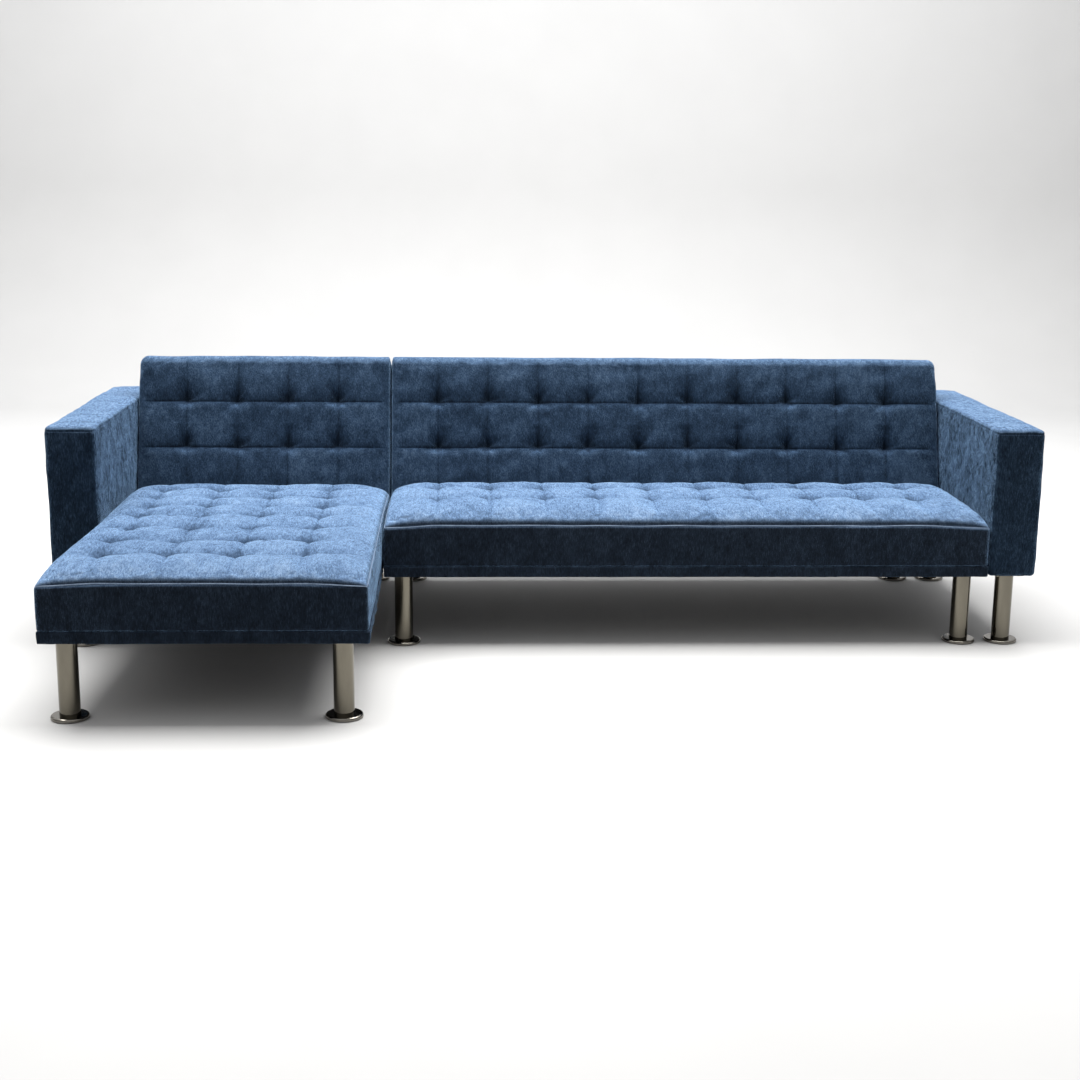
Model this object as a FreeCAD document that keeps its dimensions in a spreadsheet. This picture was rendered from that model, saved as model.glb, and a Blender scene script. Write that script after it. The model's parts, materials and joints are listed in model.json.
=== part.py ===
import FreeCAD, Part
import math
import os
import Sketcher
from FreeCAD import Placement, Rotation, Vector

os.makedirs("parts", exist_ok=True)

# Futon sofa bed with a chaise section: millimetres and degrees, +Z up, the front faces -Y.
# The origin is on the floor under the middle of the overall width and depth.
DIMENSIONS = {
    "overall_width": 2690,
    "sofa_depth": 865,
    "chaise_reach": 637,
    "arm_width": 132,
    "arm_top": 610,
    "chaise_width": 751,
    "section_gap": 6,
    "arm_gap": 3,
    "floor_clearance": 200,
    "deck_thick": 30,
    "seat_fascia": 110,
    "seat_depth": 478,
    "seat_round": 26,
    "seat_back_gap": 6,
    "back_length": 448,
    "back_thick": 125,
    "back_round": 30,
    "back_lean": 17,
    "back_side_gap": 6,
    "back_split_gap": 4,
    "back_deck_gap": 5,
    "deck_round": 8,
    "arm_round": 14,
    "arm_core_round": 4,
    "cover_thick": 2,
    "cover_lip": 20,
    "lip_gap": 0.5,
    "arm_padding": 14,
    "deck_end_board": 110,
    "deck_edge_board": 130,
    "deck_cross_board": 90,
    "seat_board_thick": 20,
    "seat_board_tall": 66,
    "seat_board_inset": 4,
    "spring_wire_radius": 1.9,
    "spring_run_radius": 26,
    "spring_half_bar": 8,
    "spring_spacing": 150,
    "spring_rest_gap": 0.4,
    "stile_width": 42,
    "stile_inset": 2,
    "back_board_thick": 45,
    "back_rail_tall": 45,
    "low_rail_thick": 22,
    "low_rail_height": 32,
    "arm_board_thick": 26,
    "leg_tube_radius": 25,
    "leg_tube_wall": 1.5,
    "leg_front_inset": 62,
    "leg_rear_inset": 79,
    "leg_side_inset": 51,
    "chaise_outer_leg_inset": 40,
    "chaise_inner_leg_inset": 62,
    "foot_radius": 46,
    "foot_thick": 8,
    "foot_rim_round": 5,
    "foot_boss_tall": 24,
    "foot_boss_clearance": 0.1,
    "glide_radius": 40,
    "glide_thick": 2,
    "plate_side": 80,
    "plate_thick": 3,
    "plate_screw_offset": 30,
    "join_plate_long": 120,
    "join_plate_wide": 40,
    "join_near_screw": 27,
    "join_far_screw": 47,
    "join_inset": 205,
    "screw_shank_radius": 2.5,
    "screw_long": 20,
    "screw_head_radius": 4,
    "screw_head_thick": 2.5,
    "screw_clearance": 0.1,
    "hinge_plate_thick": 5,
    "hinge_plate_gap": 0.5,
    "hinge_head_radius": 22,
    "hinge_web_half": 14,
    "hinge_foot_half": 28,
    "hinge_foot_thick": 3,
    "hinge_foot_screw": 19,
    "hinge_arm_half": 16,
    "hinge_arm_leg": 20,
    "hinge_arm_tall": 140,
    "hinge_arm_round": 10,
    "hinge_arm_head": 20,
    "hinge_arm_screw_low": 60,
    "hinge_arm_screw_high": 120,
    "hinge_slot_clearance": 2,
    "pin_radius": 8,
    "pin_head_radius": 11,
    "pin_head_thick": 3,
    "pin_side_gap": 0.2,
    "pin_running_clearance": 0.05,
}

document = FreeCAD.newDocument("futon_sofa_bed")
sheet = document.addObject("Spreadsheet::Sheet", "Dims")
for row, (alias, size) in enumerate(DIMENSIONS.items(), start=1):
    sheet.set(f"A{row}", alias)
    sheet.set(f"B{row}", str(size))
    sheet.setAlias(f"B{row}", alias)
document.recompute()

# Places that follow from the driving dimensions, as expressions that the objects are bound to.
INNER_FACE = "(Dims.overall_width / 2 - Dims.arm_width)"
REAR = "((Dims.sofa_depth + Dims.chaise_reach) / 2)"
SOFA_FRONT = f"({REAR} - Dims.sofa_depth)"
CHAISE_FRONT = f"({SOFA_FRONT} - Dims.chaise_reach)"
DECK_LOW = "Dims.floor_clearance"
DECK_TOP = "(Dims.floor_clearance + Dims.deck_thick)"
SEAT_TOP = f"({DECK_TOP} + Dims.seat_fascia + Dims.seat_round)"
SEAT_REAR = f"({SOFA_FRONT} + Dims.seat_depth)"
PIVOT_Y = f"({SEAT_REAR} + Dims.seat_back_gap + Dims.back_round)"
PIVOT_Z = f"({DECK_TOP} + Dims.back_deck_gap + Dims.back_thick - Dims.back_round)"
CHAISE_LEFT = f"(Dims.arm_gap - {INNER_FACE})"
CHAISE_RIGHT = f"({CHAISE_LEFT} + Dims.chaise_width)"
SOFA_LEFT = f"({CHAISE_RIGHT} + Dims.section_gap)"
SOFA_RIGHT = f"({INNER_FACE} - Dims.arm_gap)"
BACK_LEFT = f"(Dims.back_side_gap - {INNER_FACE})"
BACK_RIGHT = f"({INNER_FACE} - Dims.back_side_gap)"

# The backs are drawn in their own frame: origin on the hinge line, z up the back, y to its rear.
BACK_FRONT_Y = "(-Dims.back_round)"
BACK_LOW_Z = "(-Dims.back_round)"
BACK_REAR_Y = "(Dims.back_thick - Dims.back_round)"
BACK_TOP_Z = "(Dims.back_length - Dims.back_round)"
BACK_BOARD_REAR_Y = f"({BACK_REAR_Y} - Dims.cover_thick)"
BACK_BOARD_FRONT_Y = f"({BACK_BOARD_REAR_Y} - Dims.back_board_thick)"

# How far the hinge plates stand in from a back's end, and the slot that they swing in.
HINGE_ARM_INSET = "(Dims.cover_thick + Dims.stile_inset + Dims.stile_width)"
HINGE_WEB_INSET = f"({HINGE_ARM_INSET} + Dims.hinge_plate_thick + Dims.hinge_plate_gap)"
HINGE_END_INSET = f"({HINGE_WEB_INSET} + Dims.hinge_plate_thick + Dims.pin_side_gap + Dims.pin_head_thick)"
PIN_START_INSET = f"({HINGE_ARM_INSET} - Dims.pin_side_gap - Dims.pin_head_thick)"
SLOT_START_INSET = f"({PIN_START_INSET} - Dims.hinge_slot_clearance)"
SLOT_WIDE = f"({HINGE_END_INSET} + Dims.hinge_slot_clearance - {SLOT_START_INSET})"
EYE_RADIUS = "(Dims.pin_radius + Dims.pin_running_clearance)"


def number(expression):
    """The present value of an expression."""
    return float(sheet.evalExpression(expression))


def bind(item, expressions):
    """Bind properties of a document object to expressions."""
    for path, expression in expressions.items():
        item.setExpression(path, expression)
    return item


def at(item, x="0", y="0", z="0"):
    """Bind where a document object stands."""
    return bind(item, {"Placement.Base.x": x, "Placement.Base.y": y, "Placement.Base.z": z})


def tilt(item):
    """Stand an object drawn in the backs' own frame on the hinge line, leaning back."""
    item.Placement = Placement(Vector(), Rotation(Vector(-1, 0, 0), number("Dims.back_lean")))
    bind(item, {"Placement.Rotation.Angle": "Dims.back_lean"})
    return at(item, "0", PIVOT_Y, PIVOT_Z)


def box(name, low, size):
    """A plain box from its lowest corner and its three sizes."""
    item = document.addObject("Part::Box", name)
    bind(item, {"Length": size[0], "Width": size[1], "Height": size[2]})
    return at(item, *low)


def span_box(name, low, high):
    """A plain box between two corners."""
    size = [f"{top} - {bottom}" for bottom, top in zip(low, high)]
    return box(name, low, size)


def cylinder(name, centre, radius, height):
    """An upright cylinder from the middle of its lower face."""
    item = document.addObject("Part::Cylinder", name)
    bind(item, {"Radius": radius, "Height": height})
    return at(item, *centre)


def cut(name, base, *tools):
    """Take each tool away from the base in turn."""
    for tool in tools:
        piece = document.addObject("Part::Cut", name)
        piece.Base = base
        piece.Tool = tool
        base = piece
    return base


def common(name, base, envelope):
    """The part of a board that lies inside an envelope."""
    piece = document.addObject("Part::Common", name)
    piece.Base = base
    piece.Tool = envelope
    return piece


def group(name, members):
    """Several separate solids in one object."""
    item = document.addObject("Part::Compound", name)
    item.Links = members
    return item


def origin_plane(body, role):
    """One of the body's own three origin planes."""
    return next(feature for feature in body.Origin.OriginFeatures if feature.Role == role)


def new_body(name):
    """An empty PartDesign body."""
    return document.addObject("PartDesign::Body", name)


def new_sketch(body, name, role="XY_Plane"):
    """An empty sketch on one of the body's origin planes."""
    sketch = body.newObject("Sketcher::SketchObject", name)
    sketch.AttachmentSupport = [(origin_plane(body, role), "")]
    sketch.MapMode = "FlatFace"
    return sketch


def fix_vertex(sketch, edge, vertex, across, up):
    """Tie a vertex of the sketch to two expressions."""
    for kind, expression in (("DistanceX", across), ("DistanceY", up)):
        if abs(number(expression)) < 1e-9:
            flat = "PointOnObject"
            axis = -2 if kind == "DistanceX" else -1
            sketch.addConstraint(Sketcher.Constraint(flat, edge, vertex, axis))
            continue
        rule = Sketcher.Constraint(kind, -1, 1, edge, vertex, number(expression))
        index = sketch.addConstraint(rule)
        sketch.setExpression(f"Constraints[{index}]", expression)


def polygon_sketch(body, name, corners, role="XY_Plane"):
    """A closed outline through corners given as pairs of expressions."""
    sketch = new_sketch(body, name, role)
    points = [Vector(number(across), number(up), 0) for across, up in corners]
    count = len(points)
    for index in range(count):
        sketch.addGeometry(Part.LineSegment(points[index], points[(index + 1) % count]), False)
    for index in range(count):
        rule = Sketcher.Constraint("Coincident", index, 2, (index + 1) % count, 1)
        sketch.addConstraint(rule)
    for index, (across, up) in enumerate(corners):
        fix_vertex(sketch, index, 1, across, up)
    return sketch


def circle_sketch(body, name, radii):
    """Concentric circles about the body's origin."""
    sketch = new_sketch(body, name)
    for index, radius in enumerate(radii):
        sketch.addGeometry(Part.Circle(Vector(), Vector(0, 0, 1), number(radius)), False)
        sketch.addConstraint(Sketcher.Constraint("Coincident", index, 3, -1, 1))
        rule = sketch.addConstraint(Sketcher.Constraint("Radius", index, number(radius)))
        sketch.setExpression(f"Constraints[{rule}]", radius)
    return sketch


def pad(body, sketch, name, length, backwards=False):
    """Extrude a sketch by a bound length."""
    feature = body.newObject("PartDesign::Pad", name)
    feature.Profile = sketch
    feature.Reversed = backwards
    bind(feature, {"Length": length})
    document.recompute()
    return feature


def edge_names(shape, keep):
    """Names of the edges that a test keeps."""
    return [f"Edge{index}" for index, edge in enumerate(shape.Edges, start=1) if keep(edge)]


def fillet(body, base, name, radius, keep):
    """Round the edges that a test keeps, and make the result the body's tip."""
    feature = body.newObject("PartDesign::Fillet", name)
    feature.Base = (base, edge_names(base.Shape, keep))
    bind(feature, {"Radius": radius})
    body.Tip = feature
    return feature


def every_edge(edge):
    """Keep all edges."""
    return True


def upright_edge(edge):
    """Keep edges that run along z."""
    return abs(edge.tangentAt(edge.FirstParameter).z) > 0.99


def not_bottom_edge(edge):
    """Keep every edge that isn't in the lowest face of a body drawn from z = 0."""
    return edge.BoundBox.ZMax > 1e-6


def soft_block(name, low, high, radius, keep):
    """A rounded block, drawn from its own lowest corner."""
    body = new_body(name)
    across, deep, tall = [f"{top} - {bottom}" for bottom, top in zip(low, high)]
    corners = [("0", "0"), (across, "0"), (across, deep), ("0", deep)]
    base = pad(body, polygon_sketch(body, f"{name}_outline", corners), f"{name}_height", tall)
    fillet(body, base, f"{name}_rounding", radius, keep)
    return at(body, *low)


def inset(low, high, margin, bottom=None):
    """Move two corners inwards by a margin, keeping another bottom where one is given."""
    inner_low = [f"({place} + ({margin}))" for place in low]
    inner_high = [f"({place} - ({margin}))" for place in high]
    if bottom is not None:
        inner_low[2] = bottom
    return inner_low, inner_high


def finish(item, node):
    """Name the object that stands for one node."""
    item.Label = node
    nodes[node] = item
    return item


nodes = {}

# ---------------------------------------------------------------- screws
# One master screw and one master hole, drawn pointing up from the underside of the head.


def screw_master():
    """A pan-head wood screw."""
    body = new_body("screw_master")
    shank = circle_sketch(body, "shank_outline", ["Dims.screw_shank_radius"])
    pad(body, shank, "shank", "Dims.screw_long")
    head = circle_sketch(body, "head_outline", ["Dims.screw_head_radius"])
    pad(body, head, "head", "Dims.screw_head_thick", backwards=True)
    return body


def hole_master():
    """The hole that a screw goes in, a little deeper than the screw."""
    radius = "Dims.screw_shank_radius + Dims.screw_clearance"
    return cylinder("hole_master", ("0", "0", "-1"), radius, "Dims.screw_long + 2")


SCREW_TURNS = {
    "up": Rotation(),
    "down": Rotation(Vector(1, 0, 0), 180),
    "left": Rotation(Vector(0, 1, 0), -90),
    "right": Rotation(Vector(0, 1, 0), 90),
}


def link_at(master, name, place, turn):
    """A copy of a master piece, turned and bound to its place."""
    link = document.addObject("App::Link", name)
    link.LinkedObject = master
    link.Placement = Placement(Vector(), SCREW_TURNS[turn])
    return at(link, *place)


def holes_at(name, places, turn):
    """One cutting tool with a hole at each place."""
    sleeves = []
    for place in places:
        sleeve = document.addObject("Part::Compound", f"{name}_sleeve")
        sleeve.Links = [hole]
        sleeve.Placement = Placement(Vector(), SCREW_TURNS[turn])
        sleeves.append(at(sleeve, *place))
    return sleeves


screw = screw_master()
hole = hole_master()
wood_screws = []


def drive_screws(name, places, turn):
    """Put a screw at each place and give back the holes they need."""
    for place in places:
        wood_screws.append(link_at(screw, f"{name}_screw", place, turn))
    return holes_at(f"{name}_hole", places, turn)


# ---------------------------------------------------------------- sections and their legs

SECTIONS = {
    "chaise": {
        "low": (CHAISE_LEFT, CHAISE_FRONT, DECK_LOW),
        "high": (CHAISE_RIGHT, REAR, DECK_TOP),
        "leg_x": {
            "left": f"({CHAISE_LEFT} + Dims.chaise_outer_leg_inset)",
            "right": f"({CHAISE_RIGHT} - Dims.chaise_inner_leg_inset)",
        },
        "back": (BACK_LEFT, f"({CHAISE_RIGHT} + (Dims.section_gap - Dims.back_split_gap) / 2)"),
        "cross_boards": 1,
        "middle_stiles": 1,
    },
    "sofa": {
        "low": (SOFA_LEFT, SOFA_FRONT, DECK_LOW),
        "high": (SOFA_RIGHT, REAR, DECK_TOP),
        "leg_x": {
            "left": f"({SOFA_LEFT} + Dims.leg_side_inset)",
            "right": f"({SOFA_RIGHT} - Dims.leg_side_inset)",
        },
        "back": (f"({SOFA_LEFT} - (Dims.section_gap - Dims.back_split_gap) / 2)", BACK_RIGHT),
        "cross_boards": 3,
        "middle_stiles": 3,
    },
}
ARMS = {
    "left_arm": {
        "low": ("(-Dims.overall_width / 2)", SOFA_FRONT, DECK_LOW),
        "high": (f"(-{INNER_FACE})", REAR, "Dims.arm_top"),
    },
    "right_arm": {
        "low": (INNER_FACE, SOFA_FRONT, DECK_LOW),
        "high": ("(Dims.overall_width / 2)", REAR, "Dims.arm_top"),
    },
}
for arm in ARMS.values():
    arm["leg_x"] = {"": f"(({arm['low'][0]} + {arm['high'][0]}) / 2)"}

PLATE_LOW = f"({DECK_LOW} - Dims.plate_thick)"
TUBE_LOW = "(Dims.glide_thick + Dims.foot_thick)"


def leg_places(section):
    """Each leg of a section: its name and its centre."""
    rows = {
        "front": f"({section['low'][1]} + Dims.leg_front_inset)",
        "rear": f"({section['high'][1]} - Dims.leg_rear_inset)",
    }
    for depth, y in rows.items():
        for side, x in section["leg_x"].items():
            yield "_".join(word for word in (depth, side) if word), x, y


def leg_screw_places(x, y):
    """The four screws of one leg's plate."""
    offset = "Dims.plate_screw_offset"
    return [(f"{x} {a} {offset}", f"{y} {b} {offset}", PLATE_LOW) for a in "+-" for b in "+-"]


def leg_tube(name, x, y):
    """A chrome tube from the foot flange to the mount plate."""
    body = new_body(name)
    wall = ["Dims.leg_tube_radius", "Dims.leg_tube_radius - Dims.leg_tube_wall"]
    pad(body, circle_sketch(body, f"{name}_ring", wall), f"{name}_length", f"{PLATE_LOW} - {TUBE_LOW}")
    return at(body, x, y, TUBE_LOW)


def leg_foot(name, x, y):
    """A round foot flange with a boss that plugs the tube."""
    body = new_body(name)
    flange = circle_sketch(body, f"{name}_flange_outline", ["Dims.foot_radius"])
    pad(body, flange, f"{name}_flange", "Dims.foot_thick")
    plug = "Dims.leg_tube_radius - Dims.leg_tube_wall - Dims.foot_boss_clearance"
    boss = circle_sketch(body, f"{name}_boss_outline", [plug])
    base = pad(body, boss, f"{name}_boss", "Dims.foot_thick + Dims.foot_boss_tall")
    top = number("Dims.foot_thick")
    radius = number("Dims.foot_radius")

    def rim(edge):
        box_of_edge = edge.BoundBox
        at_top = abs(box_of_edge.ZMin - top) < 1e-6 and abs(box_of_edge.ZMax - top) < 1e-6
        return at_top and abs(box_of_edge.XMax - radius) < 1e-6

    fillet(body, base, f"{name}_rim_rounding", "Dims.foot_rim_round", rim)
    return at(body, x, y, "Dims.glide_thick")


def build_legs(section_name, section):
    """Tubes, feet, plates and glides of one section, and the holes for its screws."""
    holes = []
    for place, x, y in leg_places(section):
        leg = f"{section_name}_{place}_leg"
        foot = f"{section_name}_{place}_foot"
        finish(leg_tube(leg, x, y), leg)
        finish(leg_foot(foot, x, y), foot)
        glides.append(cylinder("glide", (x, y, "0"), "Dims.glide_radius", "Dims.glide_thick"))
        leg_holes = drive_screws(leg, leg_screw_places(x, y), "up")
        corner = (f"{x} - Dims.plate_side / 2", f"{y} - Dims.plate_side / 2", PLATE_LOW)
        blank = box("leg_plate_blank", corner, ("Dims.plate_side", "Dims.plate_side", "Dims.plate_thick"))
        leg_plates.append(cut("leg_plate", blank, *leg_holes))
        holes += leg_holes
    return holes


# ---------------------------------------------------------------- joining plates

JOINTS = [
    (f"(-{INNER_FACE} + Dims.arm_gap / 2)", ("left_arm", "chaise")),
    (f"({CHAISE_RIGHT} + Dims.section_gap / 2)", ("chaise", "sofa")),
    (f"({INNER_FACE} - Dims.arm_gap / 2)", ("sofa", "right_arm")),
]
JOIN_ROWS = [f"({SOFA_FRONT} + Dims.join_inset)", f"({REAR} - Dims.join_inset)"]


def build_joining_plates():
    """Flat steel plates under each seam, with two screws each side of it."""
    for x, (left_name, right_name) in JOINTS:
        for y in JOIN_ROWS:
            reaches = ("Dims.join_near_screw", "Dims.join_far_screw")
            left = drive_screws("join", [(f"{x} - {reach}", y, PLATE_LOW) for reach in reaches], "up")
            right = drive_screws("join", [(f"{x} + {reach}", y, PLATE_LOW) for reach in reaches], "up")
            section_holes[left_name] += left
            section_holes[right_name] += right
            corner = (f"{x} - Dims.join_plate_long / 2", f"{y} - Dims.join_plate_wide / 2", PLATE_LOW)
            size = ("Dims.join_plate_long", "Dims.join_plate_wide", "Dims.plate_thick")
            join_plates.append(cut("join_plate", box("join_plate_blank", corner, size), *left, *right))


glides = []
leg_plates = []
join_plates = []
section_holes = {}
for section_name, section in list(SECTIONS.items()) + list(ARMS.items()):
    section_holes[section_name] = build_legs(section_name, section)
build_joining_plates()

# ---------------------------------------------------------------- recline hinges


def hinge_places():
    """Each hinge: its section, the back's end, and which way is inboard."""
    for section_name, section in SECTIONS.items():
        left, right = section["back"]
        yield section_name, left, "+"
        yield section_name, right, "-"


def inboard(end, side, offset):
    """A place a given way in from a back's end."""
    return f"({end} {side} {offset})"


def slab(name, end, side, start, thick):
    """Where a plate starts along x, so that it spans start to start + thick in from the end."""
    return inboard(end, side, start if side == "+" else f"({start} + {thick})")


def hinge_base_plate(end, side):
    """An upright web with a round head, on a foot that is screwed to the deck."""
    body = new_body("hinge_base_plate")
    half = "Dims.hinge_web_half"
    rise = f"({PIVOT_Z} - {DECK_TOP})"
    post = [(f"-{half}", "0"), (half, "0"), (half, rise), (f"-{half}", rise)]
    outline = polygon_sketch(body, "hinge_web_outline", post, "YZ_Plane")
    pad(body, outline, "hinge_web", "Dims.hinge_plate_thick")
    at(body, slab("web", end, side, HINGE_WEB_INSET, "Dims.hinge_plate_thick"), PIVOT_Y, DECK_TOP)
    head = disc_along_x("hinge_head", end, side, HINGE_WEB_INSET, "Dims.hinge_plate_thick",
                        "Dims.hinge_head_radius")
    foot_low = (
        slab("foot", end, side, f"({PIN_START_INSET} + Dims.pin_side_gap)", hinge_foot_wide()),
        f"{PIVOT_Y} - Dims.hinge_foot_half",
        DECK_TOP,
    )
    foot_size = (hinge_foot_wide(), "2 * Dims.hinge_foot_half", "Dims.hinge_foot_thick")
    foot = box("hinge_foot", foot_low, foot_size)
    whole = document.addObject("Part::MultiFuse", "hinge_base_whole")
    whole.Shapes = [body, head, foot]
    eye = disc_along_x("hinge_base_eye", end, side, f"({HINGE_WEB_INSET} - 1)",
                       "(Dims.hinge_plate_thick + 2)", EYE_RADIUS)
    middle = inboard(end, side, f"({HINGE_WEB_INSET} + Dims.hinge_plate_thick / 2)")
    reaches = ("- Dims.hinge_foot_screw", "+ Dims.hinge_foot_screw")
    foot_top = f"({DECK_TOP} + Dims.hinge_foot_thick)"
    places = [(middle, f"{PIVOT_Y} {reach}", foot_top) for reach in reaches]
    holes = drive_screws("hinge_foot", places, "down")
    return cut("hinge_base", whole, eye, *holes), holes


def hinge_foot_wide():
    """The foot is as wide as the pin's span."""
    return f"({HINGE_END_INSET} - {PIN_START_INSET} - Dims.pin_side_gap)"


def disc_along_x(name, end, side, start, thick, radius, local=False):
    """A disc about the hinge line, spanning start to start + thick in from a back's end."""
    disc = document.addObject("Part::Cylinder", name)
    disc.Placement = Placement(Vector(), Rotation(Vector(0, 1, 0), 90))
    bind(disc, {"Radius": radius, "Height": thick})
    height = ("0", "0") if local else (PIVOT_Y, PIVOT_Z)
    return at(disc, slab(name, end, side, start, thick), *height)


def hinge_pin(end, side):
    """A riveted pin: a shaft with a head at each end."""
    span = "(2 * Dims.hinge_plate_thick + Dims.hinge_plate_gap + 2 * Dims.pin_side_gap)"
    start = f"({PIN_START_INSET} + Dims.pin_head_thick)"
    shaft_long = f"({span} + 2 * Dims.pin_head_thick)"
    whole = document.addObject("Part::MultiFuse", "hinge_pin")
    whole.Shapes = [
        disc_along_x("pin_shaft", end, side, PIN_START_INSET, shaft_long, "Dims.pin_radius"),
        disc_along_x("pin_head", end, side, PIN_START_INSET, "Dims.pin_head_thick", "Dims.pin_head_radius"),
        disc_along_x("pin_tail", end, side, f"({start} + {span})", "Dims.pin_head_thick",
                     "Dims.pin_head_radius"),
    ]
    return whole


def hinge_arm(end, side):
    """An L-shaped plate from the pin to the back's stile, drawn in the back's own frame."""
    body = new_body("hinge_arm_plate")
    half = "Dims.hinge_arm_half"
    rear = f"({BACK_BOARD_REAR_Y} - Dims.stile_inset)"
    corners = [
        ("0", f"-{half}"),
        (rear, f"-{half}"),
        (rear, "Dims.hinge_arm_tall"),
        (f"{rear} - Dims.hinge_arm_leg", "Dims.hinge_arm_tall"),
        (f"{rear} - Dims.hinge_arm_leg", half),
        ("0", half),
    ]
    outline = polygon_sketch(body, "hinge_arm_outline", corners, "YZ_Plane")
    base = pad(body, outline, "hinge_arm_thickness", "Dims.hinge_plate_thick")
    rear_place = number(rear)
    low_place = -number(half)

    def heel(edge):
        middle = edge.BoundBox.Center
        return abs(middle.y - rear_place) < 1e-6 and abs(middle.z - low_place) < 1e-6

    fillet(body, base, "hinge_arm_heel", "Dims.hinge_arm_round", heel)
    start = slab("arm", end, side, HINGE_ARM_INSET, "Dims.hinge_plate_thick")
    at(body, start)
    head = disc_along_x("hinge_arm_head", end, side, HINGE_ARM_INSET, "Dims.hinge_plate_thick",
                        "Dims.hinge_arm_head", local=True)
    whole = document.addObject("Part::MultiFuse", "hinge_arm_whole")
    whole.Shapes = [body, head]
    eye = disc_along_x("hinge_arm_eye", end, side, f"({HINGE_ARM_INSET} - 1)",
                       "(Dims.hinge_plate_thick + 2)", EYE_RADIUS, local=True)
    face = inboard(end, side, f"({HINGE_ARM_INSET} + Dims.hinge_plate_thick)")
    turn = "left" if side == "+" else "right"
    rows = ("Dims.hinge_arm_screw_low", "Dims.hinge_arm_screw_high")
    places = [(face, f"{rear} - Dims.hinge_arm_leg / 2", row) for row in rows]
    screws = [link_at(screw, "hinge_arm_screw", place, turn) for place in places]
    holes = holes_at("hinge_arm_hole", places, turn)
    return cut("hinge_arm", whole, eye, *holes), screws, holes


def hinge_slot(end, side):
    """The room in the back's low rear corner for the hinge to swing through, in the back's own frame."""
    reach = "(Dims.hinge_head_radius + Dims.hinge_slot_clearance)"
    low = (
        slab("slot", end, side, SLOT_START_INSET, SLOT_WIDE),
        f"(-{reach})",
        f"({BACK_LOW_Z} - 1)",
    )
    high = (f"({low[0]} + {SLOT_WIDE})", f"({BACK_REAR_Y} + 1)", reach)
    return span_box("hinge_slot", low, high)


hinge_bases = []
hinge_pins = []
hinge_arms = {name: [] for name in SECTIONS}
arm_screws = {name: [] for name in SECTIONS}
stile_holes = {name: [] for name in SECTIONS}
hinge_slots = {name: [] for name in SECTIONS}
for section_name, end, side in hinge_places():
    base_plate, foot_holes = hinge_base_plate(end, side)
    arm_plate, screws, holes = hinge_arm(end, side)
    hinge_bases.append(base_plate)
    hinge_pins.append(hinge_pin(end, side))
    section_holes[section_name] += foot_holes
    hinge_arms[section_name].append(arm_plate)
    arm_screws[section_name] += screws
    stile_holes[section_name] += holes
    hinge_slots[section_name].append(hinge_slot(end, side))

# ---------------------------------------------------------------- covers, dust covers and frames


def lipped_cover(name, low, high, radius, keep, holes):
    """A fabric skin closed but for an opening inside its turned-under lip, and its cavity."""
    skin = "Dims.cover_thick"
    outer = soft_block(f"{name}_outside", low, high, radius, keep)
    cavity_low, cavity_high = inset(low, high, skin)
    cavity = soft_block(f"{name}_inside", cavity_low, cavity_high, f"{radius} - {skin}", keep)
    mouth_low, mouth_high = inset(low, high, "Dims.cover_lip", f"({low[2]} - 1)")
    mouth_high[2] = f"({low[2]} + {skin} + 1)"
    mouth = span_box(f"{name}_mouth", mouth_low, mouth_high)
    cover = cut(name, outer, cavity, mouth, *holes)
    return cover, cavity


def dust_sheet(low, high, holes):
    """The thin sheet that closes the opening in the lip."""
    sheet_low, sheet_high = inset(low, high, "Dims.cover_lip + Dims.lip_gap", low[2])
    sheet_high[2] = f"({low[2]} + Dims.cover_thick)"
    return cut("dust_sheet", span_box("dust_sheet_blank", sheet_low, sheet_high), *holes)


def holes_near(holes, board):
    """The holes that reach into a board."""
    document.recompute()
    return [tool for tool in holes if board.Shape.BoundBox.intersect(tool.Shape.BoundBox)]


def drilled(name, board, holes, envelope):
    """A board trimmed to its envelope and drilled for the screws that reach it."""
    trimmed = common(name, board, envelope)
    return cut(name, trimmed, *holes_near(holes, board))


def board_row(name, low, high, end_wide, cross_wide, count):
    """Boards that run along y: one at each end and evenly spaced ones between them."""
    first = f"({low[0]} + {end_wide})"
    last = f"({high[0]} - {end_wide})"
    boards = [
        span_box(name, low, (first, high[1], high[2])),
        span_box(name, (last, low[1], low[2]), high),
    ]
    for index in range(1, count + 1):
        middle = f"({low[0]} + ({high[0]} - {low[0]}) * {index} / {count + 1})"
        left = f"({middle} - {cross_wide} / 2)"
        size = (cross_wide, f"{high[1]} - {low[1]}", f"{high[2]} - {low[2]}")
        boards.append(box(name, (left, low[1], low[2]), size))
    return boards


def ladder(name, low, high, edge_wide, end_wide, cross_wide, count):
    """A front board, a rear board and the boards between them."""
    front_rear = f"({low[1]} + {edge_wide})"
    rear_front = f"({high[1]} - {edge_wide})"
    boards = [
        span_box(name, low, (high[0], front_rear, high[2])),
        span_box(name, (low[0], rear_front, low[2]), high),
    ]
    between_low = (low[0], front_rear, low[2])
    between_high = (high[0], rear_front, high[2])
    return boards + board_row(name, between_low, between_high, end_wide, cross_wide, count)


def build_deck(section_name, section):
    """The upholstered platform that the legs carry."""
    low, high = section["low"], section["high"]
    holes = section_holes[section_name]
    cover, cavity = lipped_cover(f"{section_name}_deck", low, high, "Dims.deck_round", upright_edge, holes)
    finish(cover, f"{section_name}_base_cover")
    board_low, board_high = inset(low, high, "Dims.cover_thick")
    boards = ladder(f"{section_name}_deck_board", board_low, board_high, "Dims.deck_edge_board",
                    "Dims.deck_end_board", "Dims.deck_cross_board", section["cross_boards"])
    drilled_boards = [drilled(f"{section_name}_rail", board, holes, cavity) for board in boards]
    finish(group(f"{section_name}_base", drilled_boards), f"{section_name}_base_frame")
    dust_sheets.append(dust_sheet(low, high, holes))


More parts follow.
